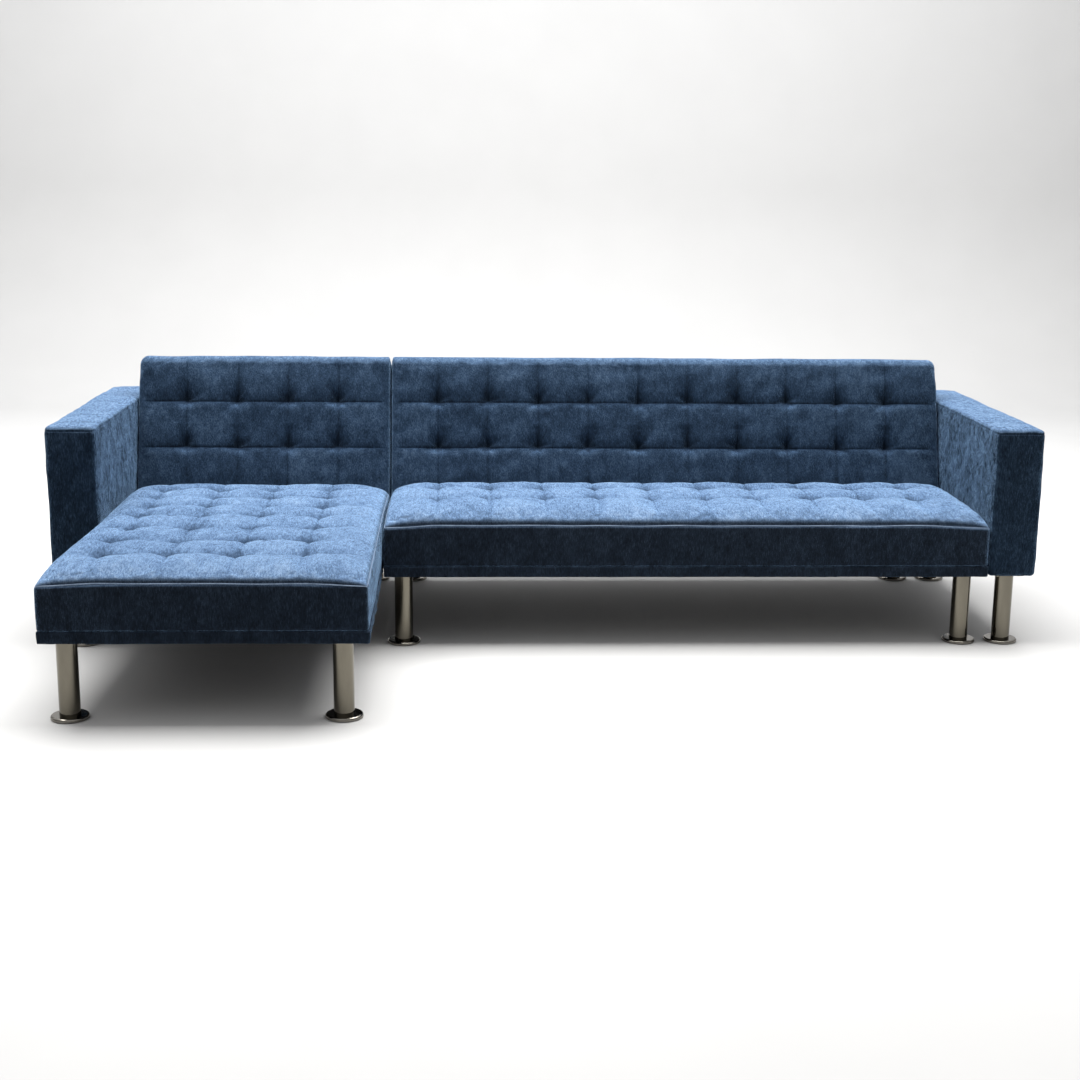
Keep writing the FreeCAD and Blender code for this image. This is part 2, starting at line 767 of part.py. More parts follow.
def zigzag_body(name, run, span, count):
    """Sinuous springs that run along the body's y, spaced evenly along its x."""
    body = new_body(name)
    path = new_sketch(body, f"{name}_path")
    radius = number("Dims.spring_run_radius")
    half = number("Dims.spring_half_bar")
    bearing = number("Dims.seat_board_thick")
    bars = int((number(run) - bearing) / (2 * radius)) + 1
    start = (number(run) - (bars - 1) * 2 * radius) / 2
    for index in range(bars):
        y = start + index * 2 * radius
        way = 1 if index % 2 == 0 else -1
        path.addGeometry(Part.LineSegment(Vector(-way * half, y, 0), Vector(way * half, y, 0)), False)
        if index < bars - 1:
            bend = Part.Circle(Vector(way * half, y + radius, 0), Vector(0, 0, 1), radius)
            first = -math.pi / 2 if way > 0 else math.pi / 2
            path.addGeometry(Part.ArcOfCircle(bend, first, first + math.pi), False)
    wire = new_sketch(body, f"{name}_wire", "YZ_Plane")
    wire.AttachmentOffset = Placement(Vector(0, 0, -half), Rotation())
    wire_radius = number("Dims.spring_wire_radius")
    wire.addGeometry(Part.Circle(Vector(start, 0, 0), Vector(0, 0, 1), wire_radius), False)
    rule = wire.addConstraint(Sketcher.Constraint("Radius", 0, wire_radius))
    wire.setExpression(f"Constraints[{rule}]", "Dims.spring_wire_radius")
    pipe = body.newObject("PartDesign::AdditivePipe", f"{name}_pipe")
    pipe.Profile = wire
    pipe.Spine = path
    document.recompute()
    row_of_springs = body.newObject("PartDesign::LinearPattern", f"{name}_row")
    row_of_springs.Originals = [pipe]
    row_of_springs.Direction = (path, ["H_Axis"])
    row_of_springs.Occurrences = count
    bind(row_of_springs, {"Length": span})
    body.Tip = row_of_springs
    return body


def build_springs(section_name, low, high, across):
    """Springs on top of the seat frame, along y, or across the seat where that is the shorter way."""
    wide = f"({high[0]} - {low[0]})"
    deep = f"({high[1]} - {low[1]})"
    run, row_long = (wide, deep) if across else (deep, wide)
    count = int(number(row_long) / number("Dims.spring_spacing"))
    margin = f"({row_long} / {count} / 2)"
    body = zigzag_body(f"{section_name}_springs", run, f"{row_long} - 2 * {margin}", count)
    z = f"{high[2]} + Dims.spring_wire_radius"
    if across:
        body.Placement = Placement(Vector(), Rotation(Vector(0, 0, 1), -90))
        return at(body, low[0], f"{high[1]} - {margin}", z)
    return at(body, f"{low[0]} + {margin}", low[1], z)


def build_seat(section_name, section, across):
    """Seat frame, springs, foam and cover."""
    low = (section["low"][0], section["low"][1], DECK_TOP)
    high = (section["high"][0], SEAT_REAR, SEAT_TOP)
    skin = "Dims.cover_thick"
    outside = soft_block(f"{section_name}_seat_outside", low, high, "Dims.seat_round", not_bottom_edge)
    inside_low, inside_high = inset(low, high, skin, f"({DECK_TOP} - 1)")
    inside_round = f"Dims.seat_round - {skin}"
    inside = soft_block(f"{section_name}_seat_inside", inside_low, inside_high, inside_round, not_bottom_edge)
    finish(cut(f"{section_name}_seat_skin", outside, inside), f"{section_name}_seat_cover")
    frame_low, frame_high = inset(low, high, "Dims.seat_board_inset", DECK_TOP)
    frame_high[2] = f"({DECK_TOP} + Dims.seat_board_tall)"
    thick = "Dims.seat_board_thick"
    boards = ladder(f"{section_name}_seat_board", frame_low, frame_high, thick, thick, thick,
                    section["cross_boards"])
    trimmed = [common(f"{section_name}_seat_rail", board, inside) for board in boards]
    finish(group(f"{section_name}_seat_box", trimmed), f"{section_name}_seat_frame")
    finish(build_springs(section_name, frame_low, frame_high, across), f"{section_name}_seat_springs")
    foam_low = list(inside_low)
    foam_low[2] = f"({frame_high[2]} + 2 * Dims.spring_wire_radius + Dims.spring_rest_gap)"
    filling = span_box(f"{section_name}_seat_filling", foam_low, inside_high)
    finish(common(f"{section_name}_seat_pad", filling, inside), f"{section_name}_seat_foam")


def build_back(section_name, section):
    """Back frame, foam and cover, in the back's own frame, then leaned back on the hinge line."""
    left, right = section["back"]
    low = (left, BACK_FRONT_Y, BACK_LOW_Z)
    high = (right, BACK_REAR_Y, BACK_TOP_Z)
    skin = "Dims.cover_thick"
    slots = hinge_slots[section_name]
    outside = soft_block(f"{section_name}_back_outside", low, high, "Dims.back_round", every_edge)
    inside_low, inside_high = inset(low, high, skin)
    inside_round = f"Dims.back_round - {skin}"
    inside = soft_block(f"{section_name}_back_inside", inside_low, inside_high, inside_round, every_edge)
    skin_name = f"{section_name}_back_skin"
    finish(tilt(cut(skin_name, outside, inside, *slots)), f"{section_name}_back_cover")
    foam_high = (inside_high[0], BACK_BOARD_FRONT_Y, inside_high[2])
    filling = common(f"{section_name}_back_pad", span_box("back_filling", inside_low, foam_high), inside)
    finish(tilt(cut(f"{section_name}_back_padding", filling, *slots)), f"{section_name}_back_foam")
    frame_low, frame_high = inset(inside_low, inside_high, "Dims.stile_inset")
    frame_low[1] = BACK_BOARD_FRONT_Y
    frame_high[1] = BACK_BOARD_REAR_Y
    boards = board_row(f"{section_name}_stile", frame_low, frame_high, "Dims.stile_width",
                       "Dims.stile_width", section["middle_stiles"])
    stiles = [drilled(f"{section_name}_stile", board, stile_holes[section_name], inside) for board in boards]
    rails = back_rails(frame_low, frame_high, section["middle_stiles"])
    rails = [common(f"{section_name}_back_rail", board, inside) for board in rails]
    finish(tilt(group(f"{section_name}_back_boards", stiles + rails)), f"{section_name}_back_frame")
    arm_group = group(f"{section_name}_arm_plates", hinge_arms[section_name])
    finish(tilt(arm_group), f"{section_name}_hinge_arms")
    screw_group = group(f"{section_name}_arm_screws", arm_screws[section_name])
    finish(tilt(screw_group), f"{section_name}_hinge_arm_screws")


def back_rails(low, high, middles):
    """Top and low rails between neighbouring stiles."""
    places = [f"({low[0]} + Dims.stile_width)"]
    for index in range(1, middles + 1):
        middle = f"({low[0]} + ({high[0]} - {low[0]}) * {index} / {middles + 1})"
        places += [f"({middle} - Dims.stile_width / 2)", f"({middle} + Dims.stile_width / 2)"]
    places.append(f"({high[0]} - Dims.stile_width)")
    rails = []
    low_rear = f"({low[1]} + Dims.low_rail_thick)"
    low_top = "(Dims.low_rail_height + Dims.back_rail_tall)"
    top_low = f"({high[2]} - Dims.back_rail_tall)"
    for start, stop in zip(places[::2], places[1::2]):
        rails.append(span_box("top_rail", (start, low[1], top_low), (stop, high[1], high[2])))
        rails.append(span_box("low_rail", (start, low[1], "Dims.low_rail_height"), (stop, low_rear, low_top)))
    return rails


def build_arm(arm_name, arm):
    """Arm frame, padding and cover."""
    low, high = arm["low"], arm["high"]
    holes = section_holes[arm_name]
    cover, cavity = lipped_cover(f"{arm_name}_skin", low, high, "Dims.arm_round", not_bottom_edge, holes)
    finish(cover, f"{arm_name}_cover")
    depth_of_padding = "(Dims.cover_thick + Dims.arm_padding)"
    core_low, core_high = inset(low, high, depth_of_padding, f"({low[2]} + Dims.cover_thick)")
    hollow_low = [core_low[0], core_low[1], low[2]]
    core_round = "Dims.arm_core_round"
    core = soft_block(f"{arm_name}_core", hollow_low, core_high, core_round, not_bottom_edge)
    finish(cut(f"{arm_name}_padding", cavity, core), f"{arm_name}_foam")
    board = "Dims.arm_board_thick"
    floor_top = f"({core_low[2]} + {board})"
    roof_low = f"({core_high[2]} - {board})"
    front_rear = f"({core_low[1]} + {board})"
    rear_front = f"({core_high[1]} - {board})"
    middle = f"(({core_low[1]} + {core_high[1]}) / 2)"

    def post_between(name, front, rear):
        return span_box(name, (core_low[0], front, floor_top), (core_high[0], rear, roof_low))

    boards = [
        span_box("arm_floor_board", core_low, (core_high[0], core_high[1], floor_top)),
        span_box("arm_top_board", (core_low[0], core_low[1], roof_low), core_high),
        post_between("arm_front_post", core_low[1], front_rear),
        post_between("arm_rear_post", rear_front, core_high[1]),
        post_between("arm_middle_post", f"({middle} - {board} / 2)", f"({middle} + {board} / 2)"),
    ]
    drilled_boards = [drilled(f"{arm_name}_board", blank, holes, core) for blank in boards]
    finish(group(f"{arm_name}_boards", drilled_boards), f"{arm_name}_frame")
    dust_sheets.append(dust_sheet(low, high, holes))


dust_sheets = []
for section_name, section in SECTIONS.items():
    build_deck(section_name, section)
    build_seat(section_name, section, across=section_name == "chaise")
    build_back(section_name, section)
for arm_name, arm in ARMS.items():
    build_arm(arm_name, arm)

finish(group("glides", glides), "leg_glides")
finish(group("leg_plates", leg_plates), "leg_mount_plates")
finish(group("join_plates", join_plates), "joining_plates")
finish(group("base_hinges", hinge_bases), "hinge_base_plates")
finish(group("pins", hinge_pins), "hinge_pins")
finish(group("dust", dust_sheets), "dust_covers")
finish(group("screws", wood_screws), "wood_screws")

# ---------------------------------------------------------------- check and write

document.recompute()
failed = [item.Name for item in document.Objects if {"Invalid", "Error"} & set(item.State)]
if failed:
    raise RuntimeError(f"objects that failed: {failed}")
for node, item in nodes.items():
    if item.Shape.isNull() or not item.Shape.isValid() or not item.Shape.Solids:
        raise RuntimeError(f"{node} has no valid solid")
    if item.Label != node:
        raise RuntimeError(f"{node} is labelled {item.Label}")
for node, item in nodes.items():
    item.Shape.exportStep(f"parts/{node}.step")
print(f"{len(nodes)} nodes written")
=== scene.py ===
import math

import bpy
import numpy as np
from mathutils import Matrix, Vector
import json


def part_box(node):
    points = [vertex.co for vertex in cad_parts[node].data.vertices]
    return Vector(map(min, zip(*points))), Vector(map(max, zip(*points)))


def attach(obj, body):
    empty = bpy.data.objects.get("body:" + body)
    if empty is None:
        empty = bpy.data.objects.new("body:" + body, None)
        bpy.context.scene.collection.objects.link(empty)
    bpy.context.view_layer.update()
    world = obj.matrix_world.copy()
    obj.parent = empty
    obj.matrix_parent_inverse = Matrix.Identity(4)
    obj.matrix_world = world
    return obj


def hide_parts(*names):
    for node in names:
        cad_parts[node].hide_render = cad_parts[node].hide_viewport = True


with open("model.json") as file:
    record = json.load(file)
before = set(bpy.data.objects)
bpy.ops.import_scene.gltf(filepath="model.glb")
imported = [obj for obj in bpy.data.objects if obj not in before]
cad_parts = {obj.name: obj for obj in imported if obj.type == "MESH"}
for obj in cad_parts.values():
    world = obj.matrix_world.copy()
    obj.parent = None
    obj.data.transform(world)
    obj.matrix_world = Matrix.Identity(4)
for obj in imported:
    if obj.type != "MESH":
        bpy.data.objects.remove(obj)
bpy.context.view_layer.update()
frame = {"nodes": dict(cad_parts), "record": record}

# ---------------------------------------------------------------- places, from the frame

SECTIONS = ("chaise", "sofa")
ARMS = ("left_arm", "right_arm")
FLAT_ANGLE = 73.0
PIVOT = Vector(frame["record"]["behaviour"]["joints"][0]["pos_m"])
LEAN = math.radians(90.0 - FLAT_ANGLE)
BACK_ROUND = 0.030
BACK_END_ROUND = 0.008
BACK_SWELL = 0.0014
BACK_CORNER_ROUND = 0.027
BACK_LONG = 0.448
BACK_THICK = 0.125
SEAT_LINE = 0.340
DECK_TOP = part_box("sofa_base_cover")[1].z
CHAISE_LEFT, CHAISE_RIGHT = (corner.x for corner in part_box("chaise_seat_cover"))
UP_BACK = Vector((0.0, math.sin(LEAN), math.cos(LEAN)))
OUT_BACK = Vector((0.0, -math.cos(LEAN), math.sin(LEAN)))
BACK_CORNER = Vector((0.0, PIVOT.y, PIVOT.z)) - BACK_ROUND * UP_BACK + BACK_ROUND * OUT_BACK
BACK_TO_WORLD = Matrix((
    (1.0, 0.0, 0.0, 0.0),
    (0.0, UP_BACK.y, OUT_BACK.y, BACK_CORNER.y),
    (0.0, UP_BACK.z, OUT_BACK.z, BACK_CORNER.z),
    (0.0, 0.0, 0.0, 1.0),
))

# ---------------------------------------------------------------- lattices


def ticks(start, stop, stations, coarse, fine, reach):
    """Coordinates from start to stop through every station, closer together near each one."""
    marks = sorted({start, stop, *(place for place in stations if start < place < stop)})
    grid = [start]
    for left, right in zip(marks, marks[1:]):
        places = np.linspace(left, right, 300)
        nearness = np.abs(places[:, None] - np.array(marks)[None, :]).min(axis=1)
        density = 1.0 / (fine + (coarse - fine) * np.clip(nearness / reach, 0.0, 1.0))
        steps = (density[1:] + density[:-1]) / 2 * np.diff(places)
        travelled = np.concatenate([[0.0], np.cumsum(steps)])
        count = max(1, int(round(travelled[-1])))
        grid.extend(np.interp(np.linspace(0.0, travelled[-1], count + 1)[1:], travelled, places))
    return np.array(grid)


class Block:
    """The outside of a box-shaped lattice, rounded at its edges, whose points can be displaced."""

    def __init__(self, xs, ys, zs, radius, base_radius=None):
        self.axes = (xs, ys, zs)
        self.shape = tuple(len(axis) for axis in self.axes)
        self.low = np.array([axis[0] for axis in self.axes])
        self.high = np.array([axis[-1] for axis in self.axes])
        outside = np.zeros(self.shape, bool)
        outside[[0, -1], :, :] = True
        outside[:, [0, -1], :] = True
        outside[:, :, [0, -1]] = True
        self.index = np.full(self.shape, -1)
        self.index[outside] = np.arange(outside.sum())
        self.cells = np.argwhere(outside)
        self.flat = np.stack([axis[self.cells[:, way]] for way, axis in enumerate(self.axes)], axis=1)
        high_radii = np.ones(self.flat.shape) * (radius(self.flat) if callable(radius) else radius)
        low_radii = high_radii.copy()
        if base_radius:
            low_radii[:, 2] = base_radius
        inner = np.clip(self.flat, self.low + low_radii, self.high - high_radii)
        radii = np.where(self.flat < inner, low_radii, high_radii)
        offset = (self.flat - inner) / radii
        self.out = offset / np.linalg.norm(offset, axis=1)[:, None]
        self.points = inner + self.out * np.abs(offset).max(axis=1)[:, None] * radii

    def face(self, way, last):
        """Which points lie on one of the six faces of the lattice."""
        return self.cells[:, way] == (self.shape[way] - 1 if last else 0)

    def edge_distance(self, ways):
        """How far each point is from the nearest border across the given axes."""
        spans = [
            np.minimum(self.flat[:, way] - self.low[way], self.high[way] - self.flat[:, way])
            for way in ways
        ]
        return np.minimum.reduce(spans)

    def quads(self):
        """The faces, all turned outwards."""
        sheets = [
            (self.index[:, :, -1], False),
            (self.index[:, :, 0], True),
            (self.index[:, 0, :], False),
            (self.index[:, -1, :], True),
            (self.index[0, :, :], True),
            (self.index[-1, :, :], False),
        ]
        found = []
        for sheet, flip in sheets:
            corners = [sheet[:-1, :-1], sheet[1:, :-1], sheet[1:, 1:], sheet[:-1, 1:]]
            quad = np.stack(corners, axis=-1).reshape(-1, 4)
            found.append(quad[:, ::-1] if flip else quad)
        return np.concatenate(found)


def bump(distance, width):
    """A smooth unit hump about zero distance."""
    return np.exp(-((distance / width) ** 2))


def smooth(value, start, stop):
    """A smooth step from 0 to 1."""
    part = np.clip((value - start) / (stop - start), 0.0, 1.0)
    return part * part * (3.0 - 2.0 * part)


def ripple(points, seed, wavelength, waves=14):
    """Soft unevenness from a few waves in fixed random directions, about -1 to 1."""
    draw = np.random.default_rng(seed)
    total = np.zeros(len(points))
    for _ in range(waves):
        way = draw.normal(size=3)
        way *= 2.0 * math.pi / (np.linalg.norm(way) * wavelength * draw.uniform(0.6, 1.7))
        total += np.sin(points @ way + draw.uniform(0.0, 2.0 * math.pi))
    return total / math.sqrt(waves)


def nearest(values, stations):
    """Signed distance to the nearest station, and which one it is."""
    gaps = values[:, None] - np.asarray(stations)[None, :]
    which = np.abs(gaps).argmin(axis=1)
    return gaps[np.arange(len(values)), which], which


def turn_corner(points, ways, start, sign):
    """Round the square corner that lies beyond start, towards the given signs, in the plane of two axes."""
    beyond = (points[:, ways] - start) * sign
    corner = (beyond > 0).all(axis=1)
    reach = np.maximum(np.linalg.norm(beyond, axis=1), 1e-9)
    turned = start + sign * beyond * (np.abs(beyond).max(axis=1) / reach)[:, None]
    points[np.ix_(corner, ways)] = turned[corner]


def mesh_object(name, points, quads, matrix=None):
    """A smooth-shaded mesh object from points and quads."""
    mesh = bpy.data.meshes.new(name)
    mesh.from_pydata([tuple(point) for point in points], [], [tuple(int(i) for i in quad) for quad in quads])
    if matrix is not None:
        mesh.transform(matrix)
    mesh.polygons.foreach_set("use_smooth", [True] * len(mesh.polygons))
    mesh.update()
    item = bpy.data.objects.new(name, mesh)
    bpy.context.scene.collection.objects.link(item)
    return item


# ---------------------------------------------------------------- cloth


CLOTH_STEPS = 20


def relax_panel(grid, pins, pressure, growth, cap):
    """Inflate a sheet that is held where pins is 1, by cloth simulation, and give its new points."""
    rows, columns = grid.shape[:2]
    index = np.arange(rows * columns).reshape(rows, columns)
    quads = np.stack([index[:-1, :-1], index[1:, :-1], index[1:, 1:], index[:-1, 1:]], axis=-1).reshape(-1, 4)
    sheet = mesh_object("panel_in_work", grid.reshape(-1, 3), quads)
    held = sheet.vertex_groups.new(name="held")
    levels = np.round(pins.reshape(-1), 2)
    for level in np.unique(levels):
        if level > 0:
            held.add([int(i) for i in np.flatnonzero(levels == level)], float(level), "REPLACE")
    cloth = sheet.modifiers.new("cloth", "CLOTH")
    settings = cloth.settings
    settings.quality = 5
    settings.mass = 0.25
    settings.tension_stiffness = 30.0
    settings.compression_stiffness = 25.0
    settings.shear_stiffness = 12.0
    settings.bending_stiffness = 1.5
    settings.air_damping = 4.0
    settings.vertex_group_mass = "held"
    settings.pin_stiffness = 1.0
    settings.use_pressure = True
    settings.uniform_pressure_force = pressure
    settings.shrink_min = -growth
    settings.effector_weights.gravity = 0.0
    cloth.collision_settings.use_collision = False
    cloth.collision_settings.use_self_collision = False
    scene = bpy.context.scene
    cloth.point_cache.frame_start = 1
    cloth.point_cache.frame_end = CLOTH_STEPS
    for step in range(1, CLOTH_STEPS + 1):
        scene.frame_set(step)
    found = sheet.evaluated_get(bpy.context.evaluated_depsgraph_get()).to_mesh()
    moved = np.zeros(rows * columns * 3, np.float32)
    found.vertices.foreach_get("co", moved)
    scene.frame_set(1)
    bpy.data.objects.remove(sheet)
    travel = moved.reshape(rows, columns, 3) - grid
    length = np.maximum(np.linalg.norm(travel, axis=2, keepdims=True), 1e-9)
    return grid + travel * np.minimum(1.0, cap / length)


# ---------------------------------------------------------------- quilted cushions

STITCH_FINE = 0.0014
STITCH_REACH = 0.016
PANEL_STEP = 0.0066
SIDE_STEP = 0.011


def valley(distance, reach):
    """A crease with a crisp bottom and sides that round off into the puffs: 1 at the seam, 0 beyond reach."""
    return 1.0 - np.sin(np.clip(np.abs(distance) / reach, 0.0, 1.0) * math.pi / 2)


def quilt(points, columns, rows, style, seed):
    """Height of a quilted panel over its flat face, and how deep in a crease each point lies, which the
    material paints as shade.
    """
    across, column = nearest(points[:, 0], columns)
    along, row = nearest(points[:, 1], rows)
    draw = np.random.default_rng(seed)
    count = (len(columns), len(rows))
    depth = draw.uniform(0.78, 1.15, count)[column, row]
    shift = draw.normal(0.0, style["wander"], (*count, 2))[column, row]
    row_reach = np.where(along > 0, style["row_above"], style["row_below"])
    slack_x = 1.0 - style["slack"] * (1.0 - valley(across, 0.075))
    slack_y = 1.0 - style["slack"] * (1.0 - valley(along, 0.075))
    row_crease = valley(along, row_reach)
    column_crease = valley(across, style["column_reach"])
    height = -style["row"] * row_crease * slack_x - style["column"] * column_crease * slack_y
    height -= style["row_stitch"] * bump(along, 0.0017) + style["column_stitch"] * bump(across, 0.0017)
    tuft_x = across - shift[:, 0]
    tuft_y = along - style["tuft_lift"] - shift[:, 1]
    tall = np.where(tuft_y > 0, style["tuft_above"], style["tuft_below"])
    reach = np.hypot(tuft_x / style["tuft_wide"], tuft_y / tall)
    turn = np.arctan2(tuft_y, tuft_x)
    spokes = 1.0 + 0.10 * np.sin(turn * 5.0 + column * 1.7 + row * 2.3)
    spokes += 0.04 * np.sin(turn * 9.0 + column + row)
    tuft = np.exp(-((reach * spokes) ** 1.35))
    height -= style["tuft"] * depth * tuft
    # The crease depth, with thin lines along the stitches, is painted as shade in the seams and tufts by the
    # material.
    crease_shade = 0.24 * row_crease * slack_x + 0.14 * column_crease * slack_y + 0.72 * tuft
    crease_shade = np.clip(crease_shade + 0.32 * bump(along, 0.006) + 0.15 * bump(across, 0.004), 0.0, 1.0)
    return height, crease_shade


SEAT_STYLE = {
    "wander": 0.0030, "slack": 0.35, "row": 0.0145, "row_above": 0.062, "row_below": 0.034,
    "column": 0.0062, "column_reach": 0.052, "row_stitch": 0.0010, "column_stitch": 0.0007,
    "tuft": 0.0160, "tuft_lift": 0.0, "tuft_wide": 0.026, "tuft_above": 0.026, "tuft_below": 0.020,
}
BACK_STYLE = {
    "wander": 0.0022, "slack": 0.35, "row": 0.0024, "row_above": 0.040, "row_below": 0.016,
    "column": 0.0016, "column_reach": 0.018, "row_stitch": 0.0006, "column_stitch": 0.0008,
    "tuft": 0.0180, "tuft_lift": 0.003, "tuft_wide": 0.017, "tuft_above": 0.030, "tuft_below": 0.011,
}
CROWN = {"chaise": 0.031, "sofa": 0.038}
EDGE_BOW = 0.006
SEAT_FILL = {"pressure": 2.2, "growth": 0.02, "hold": 0.03, "cap": 0.010}
BACK_FILL = {"pressure": 0.8, "growth": 0.002, "hold": 0.12, "cap": 0.003}
CROWN_RUN = 0.085


def crown(distance):
    """How high the seat panel stands over its piped border at a distance in from it."""
    part = 1.0 - np.clip(distance / CROWN_RUN, 0.0, 1.0)
    return np.maximum(1.0 - part ** 2.2, 0.0) ** 0.62


SPREAD_RUN = (0.14, 0.60)
SPREAD_LEFT = 0.013
SPREAD_RIGHT = 0.003


def flare(section, points):
    """The chaise spreads a little in front of the arm, more on its open left side."""
    if section == "chaise":
        forward = smooth(-points[:, 1], *SPREAD_RUN)
        middle = (CHAISE_LEFT + CHAISE_RIGHT) / 2
        spread = np.where(points[:, 0] < middle, -SPREAD_LEFT, SPREAD_RIGHT)
        outward = np.minimum(1.0, np.abs(points[:, 0] - middle) / (CHAISE_RIGHT - middle))
        points[:, 0] += forward * spread * outward


def seat_cushion(section, columns, rows, seed):
    """One seat: plain boxed sides and a crowned, quilted and tufted top."""
    low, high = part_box(f"{section}_seat_cover")
    xs = ticks(low.x, high.x, [*columns, low.x + 0.02, high.x - 0.02], PANEL_STEP, STITCH_FINE, STITCH_REACH)
    ys = ticks(low.y, high.y, [*rows, low.y + 0.02, high.y - 0.02], PANEL_STEP, STITCH_FINE, STITCH_REACH)
    zs = ticks(DECK_TOP, SEAT_LINE, [SEAT_LINE - 0.012], SIDE_STEP, 0.003, 0.02)
    block = Block(xs, ys, zs, 0.010, 0.0008)
    top = block.face(2, True)
    flat = block.flat[top]
    span_x = np.minimum(flat[:, 0] - low.x, high.x - flat[:, 0])
    span_y = np.minimum(flat[:, 1] - low.y, high.y - flat[:, 1])
    quilting, crease_shade = quilt(flat, columns, rows, SEAT_STYLE, seed)
    inward = smooth(np.minimum(span_x, span_y), 0.010, 0.075)
    height = CROWN[section] * crown(span_x) * crown(span_y)
    quilting += 0.0022 * ripple(flat, seed + 1, 0.15)
    quilting += 0.0008 * ripple(flat, seed + 2, 0.045)
    height += quilting * inward
    block.points[top, 2] += height
    sides = (~top) & (~block.face(2, False))
    level = (block.flat[:, 2] - DECK_TOP) / (SEAT_LINE - DECK_TOP)
    swell = 0.0012 * np.sin(np.clip(level, 0, 1) * math.pi) + 0.0008 * ripple(block.flat, seed + 3, 0.22)
    block.points += (block.out * (swell * sides)[:, None]) * np.array([1.0, 1.0, 0.0])
    inflate(block, columns, rows, **SEAT_FILL)
    from_corner = np.maximum(block.edge_distance((0,)), block.edge_distance((1,)))
    block.points[:, 2] += EDGE_BOW * smooth(from_corner, 0.0, 0.16) * np.clip(level, 0.0, 1.0)
    flare(section, block.points)
    tones = np.zeros(len(block.points))
    tones[top] = panel_tone(flat, columns, rows, seed)
    # Crease depth, which the material paints as shade.
    crease_shades = np.zeros(len(block.points))
    crease_shades[top] = crease_shade * inward
    return cushion_mesh(f"{section}_seat_cushion", block, tones, crease_shades), block


def inflate(block, columns, rows, pressure, growth, hold, cap):
    """Let cloth simulation fill out the lattice's quilted face between its tufts and seams."""
    index = block.index[:, :, -1]
    grid = block.points[index]
    flat = block.flat[index].reshape(-1, 3)
    across, _ = nearest(flat[:, 0], columns)
    along, _ = nearest(flat[:, 1], rows)
    border = np.minimum(flat[:, :2] - block.low[:2], block.high[:2] - flat[:, :2]).min(axis=1)
    pins = np.where(np.minimum(np.abs(across), np.abs(along)) < 0.003, 0.5, hold)
    pins = np.where(np.hypot(across, along) < 0.010, 1.0, pins)
    pins = np.where(border < 0.012, 1.0, pins)
    block.points[index] = relax_panel(grid, pins.reshape(grid.shape[:2]), pressure, growth, cap)


def panel_tone(flat, columns, rows, seed):
    """A slightly different lie of the nap in every sewn panel, -1 to 1."""
    draw = np.random.default_rng(seed + 7)
    column = np.searchsorted(np.asarray(columns), flat[:, 0])
    row = np.searchsorted(np.asarray(rows), flat[:, 1])
    return draw.uniform(-1.0, 1.0, (len(columns) + 1, len(rows) + 1))[column, row]


def cushion_mesh(name, block, tones, crease_shades, matrix=None):
    """The cushion's mesh, with the nap and crease of each point kept for its material, which paints shade in
    the creases.
    """
    item = mesh_object(name, block.points, block.quads(), matrix)
    for label, values in (("nap", tones), ("crease_shade", crease_shades)):
        layer = item.data.attributes.new(label, "FLOAT", "POINT")
        layer.data.foreach_set("value", np.asarray(values, np.float32))
    return item


def back_radii(flat):
    """A back's rounding along each axis: its ends are crisp, but for the outer top corners."""
    outer_top = smooth(flat[:, 1], BACK_LONG - 0.090, BACK_LONG - BACK_ROUND) * (np.abs(flat[:, 0]) > 0.9)
    radii = np.full(flat.shape, BACK_ROUND)
    radii[:, 0] = BACK_END_ROUND + (BACK_CORNER_ROUND - BACK_END_ROUND) * outer_top
    return radii


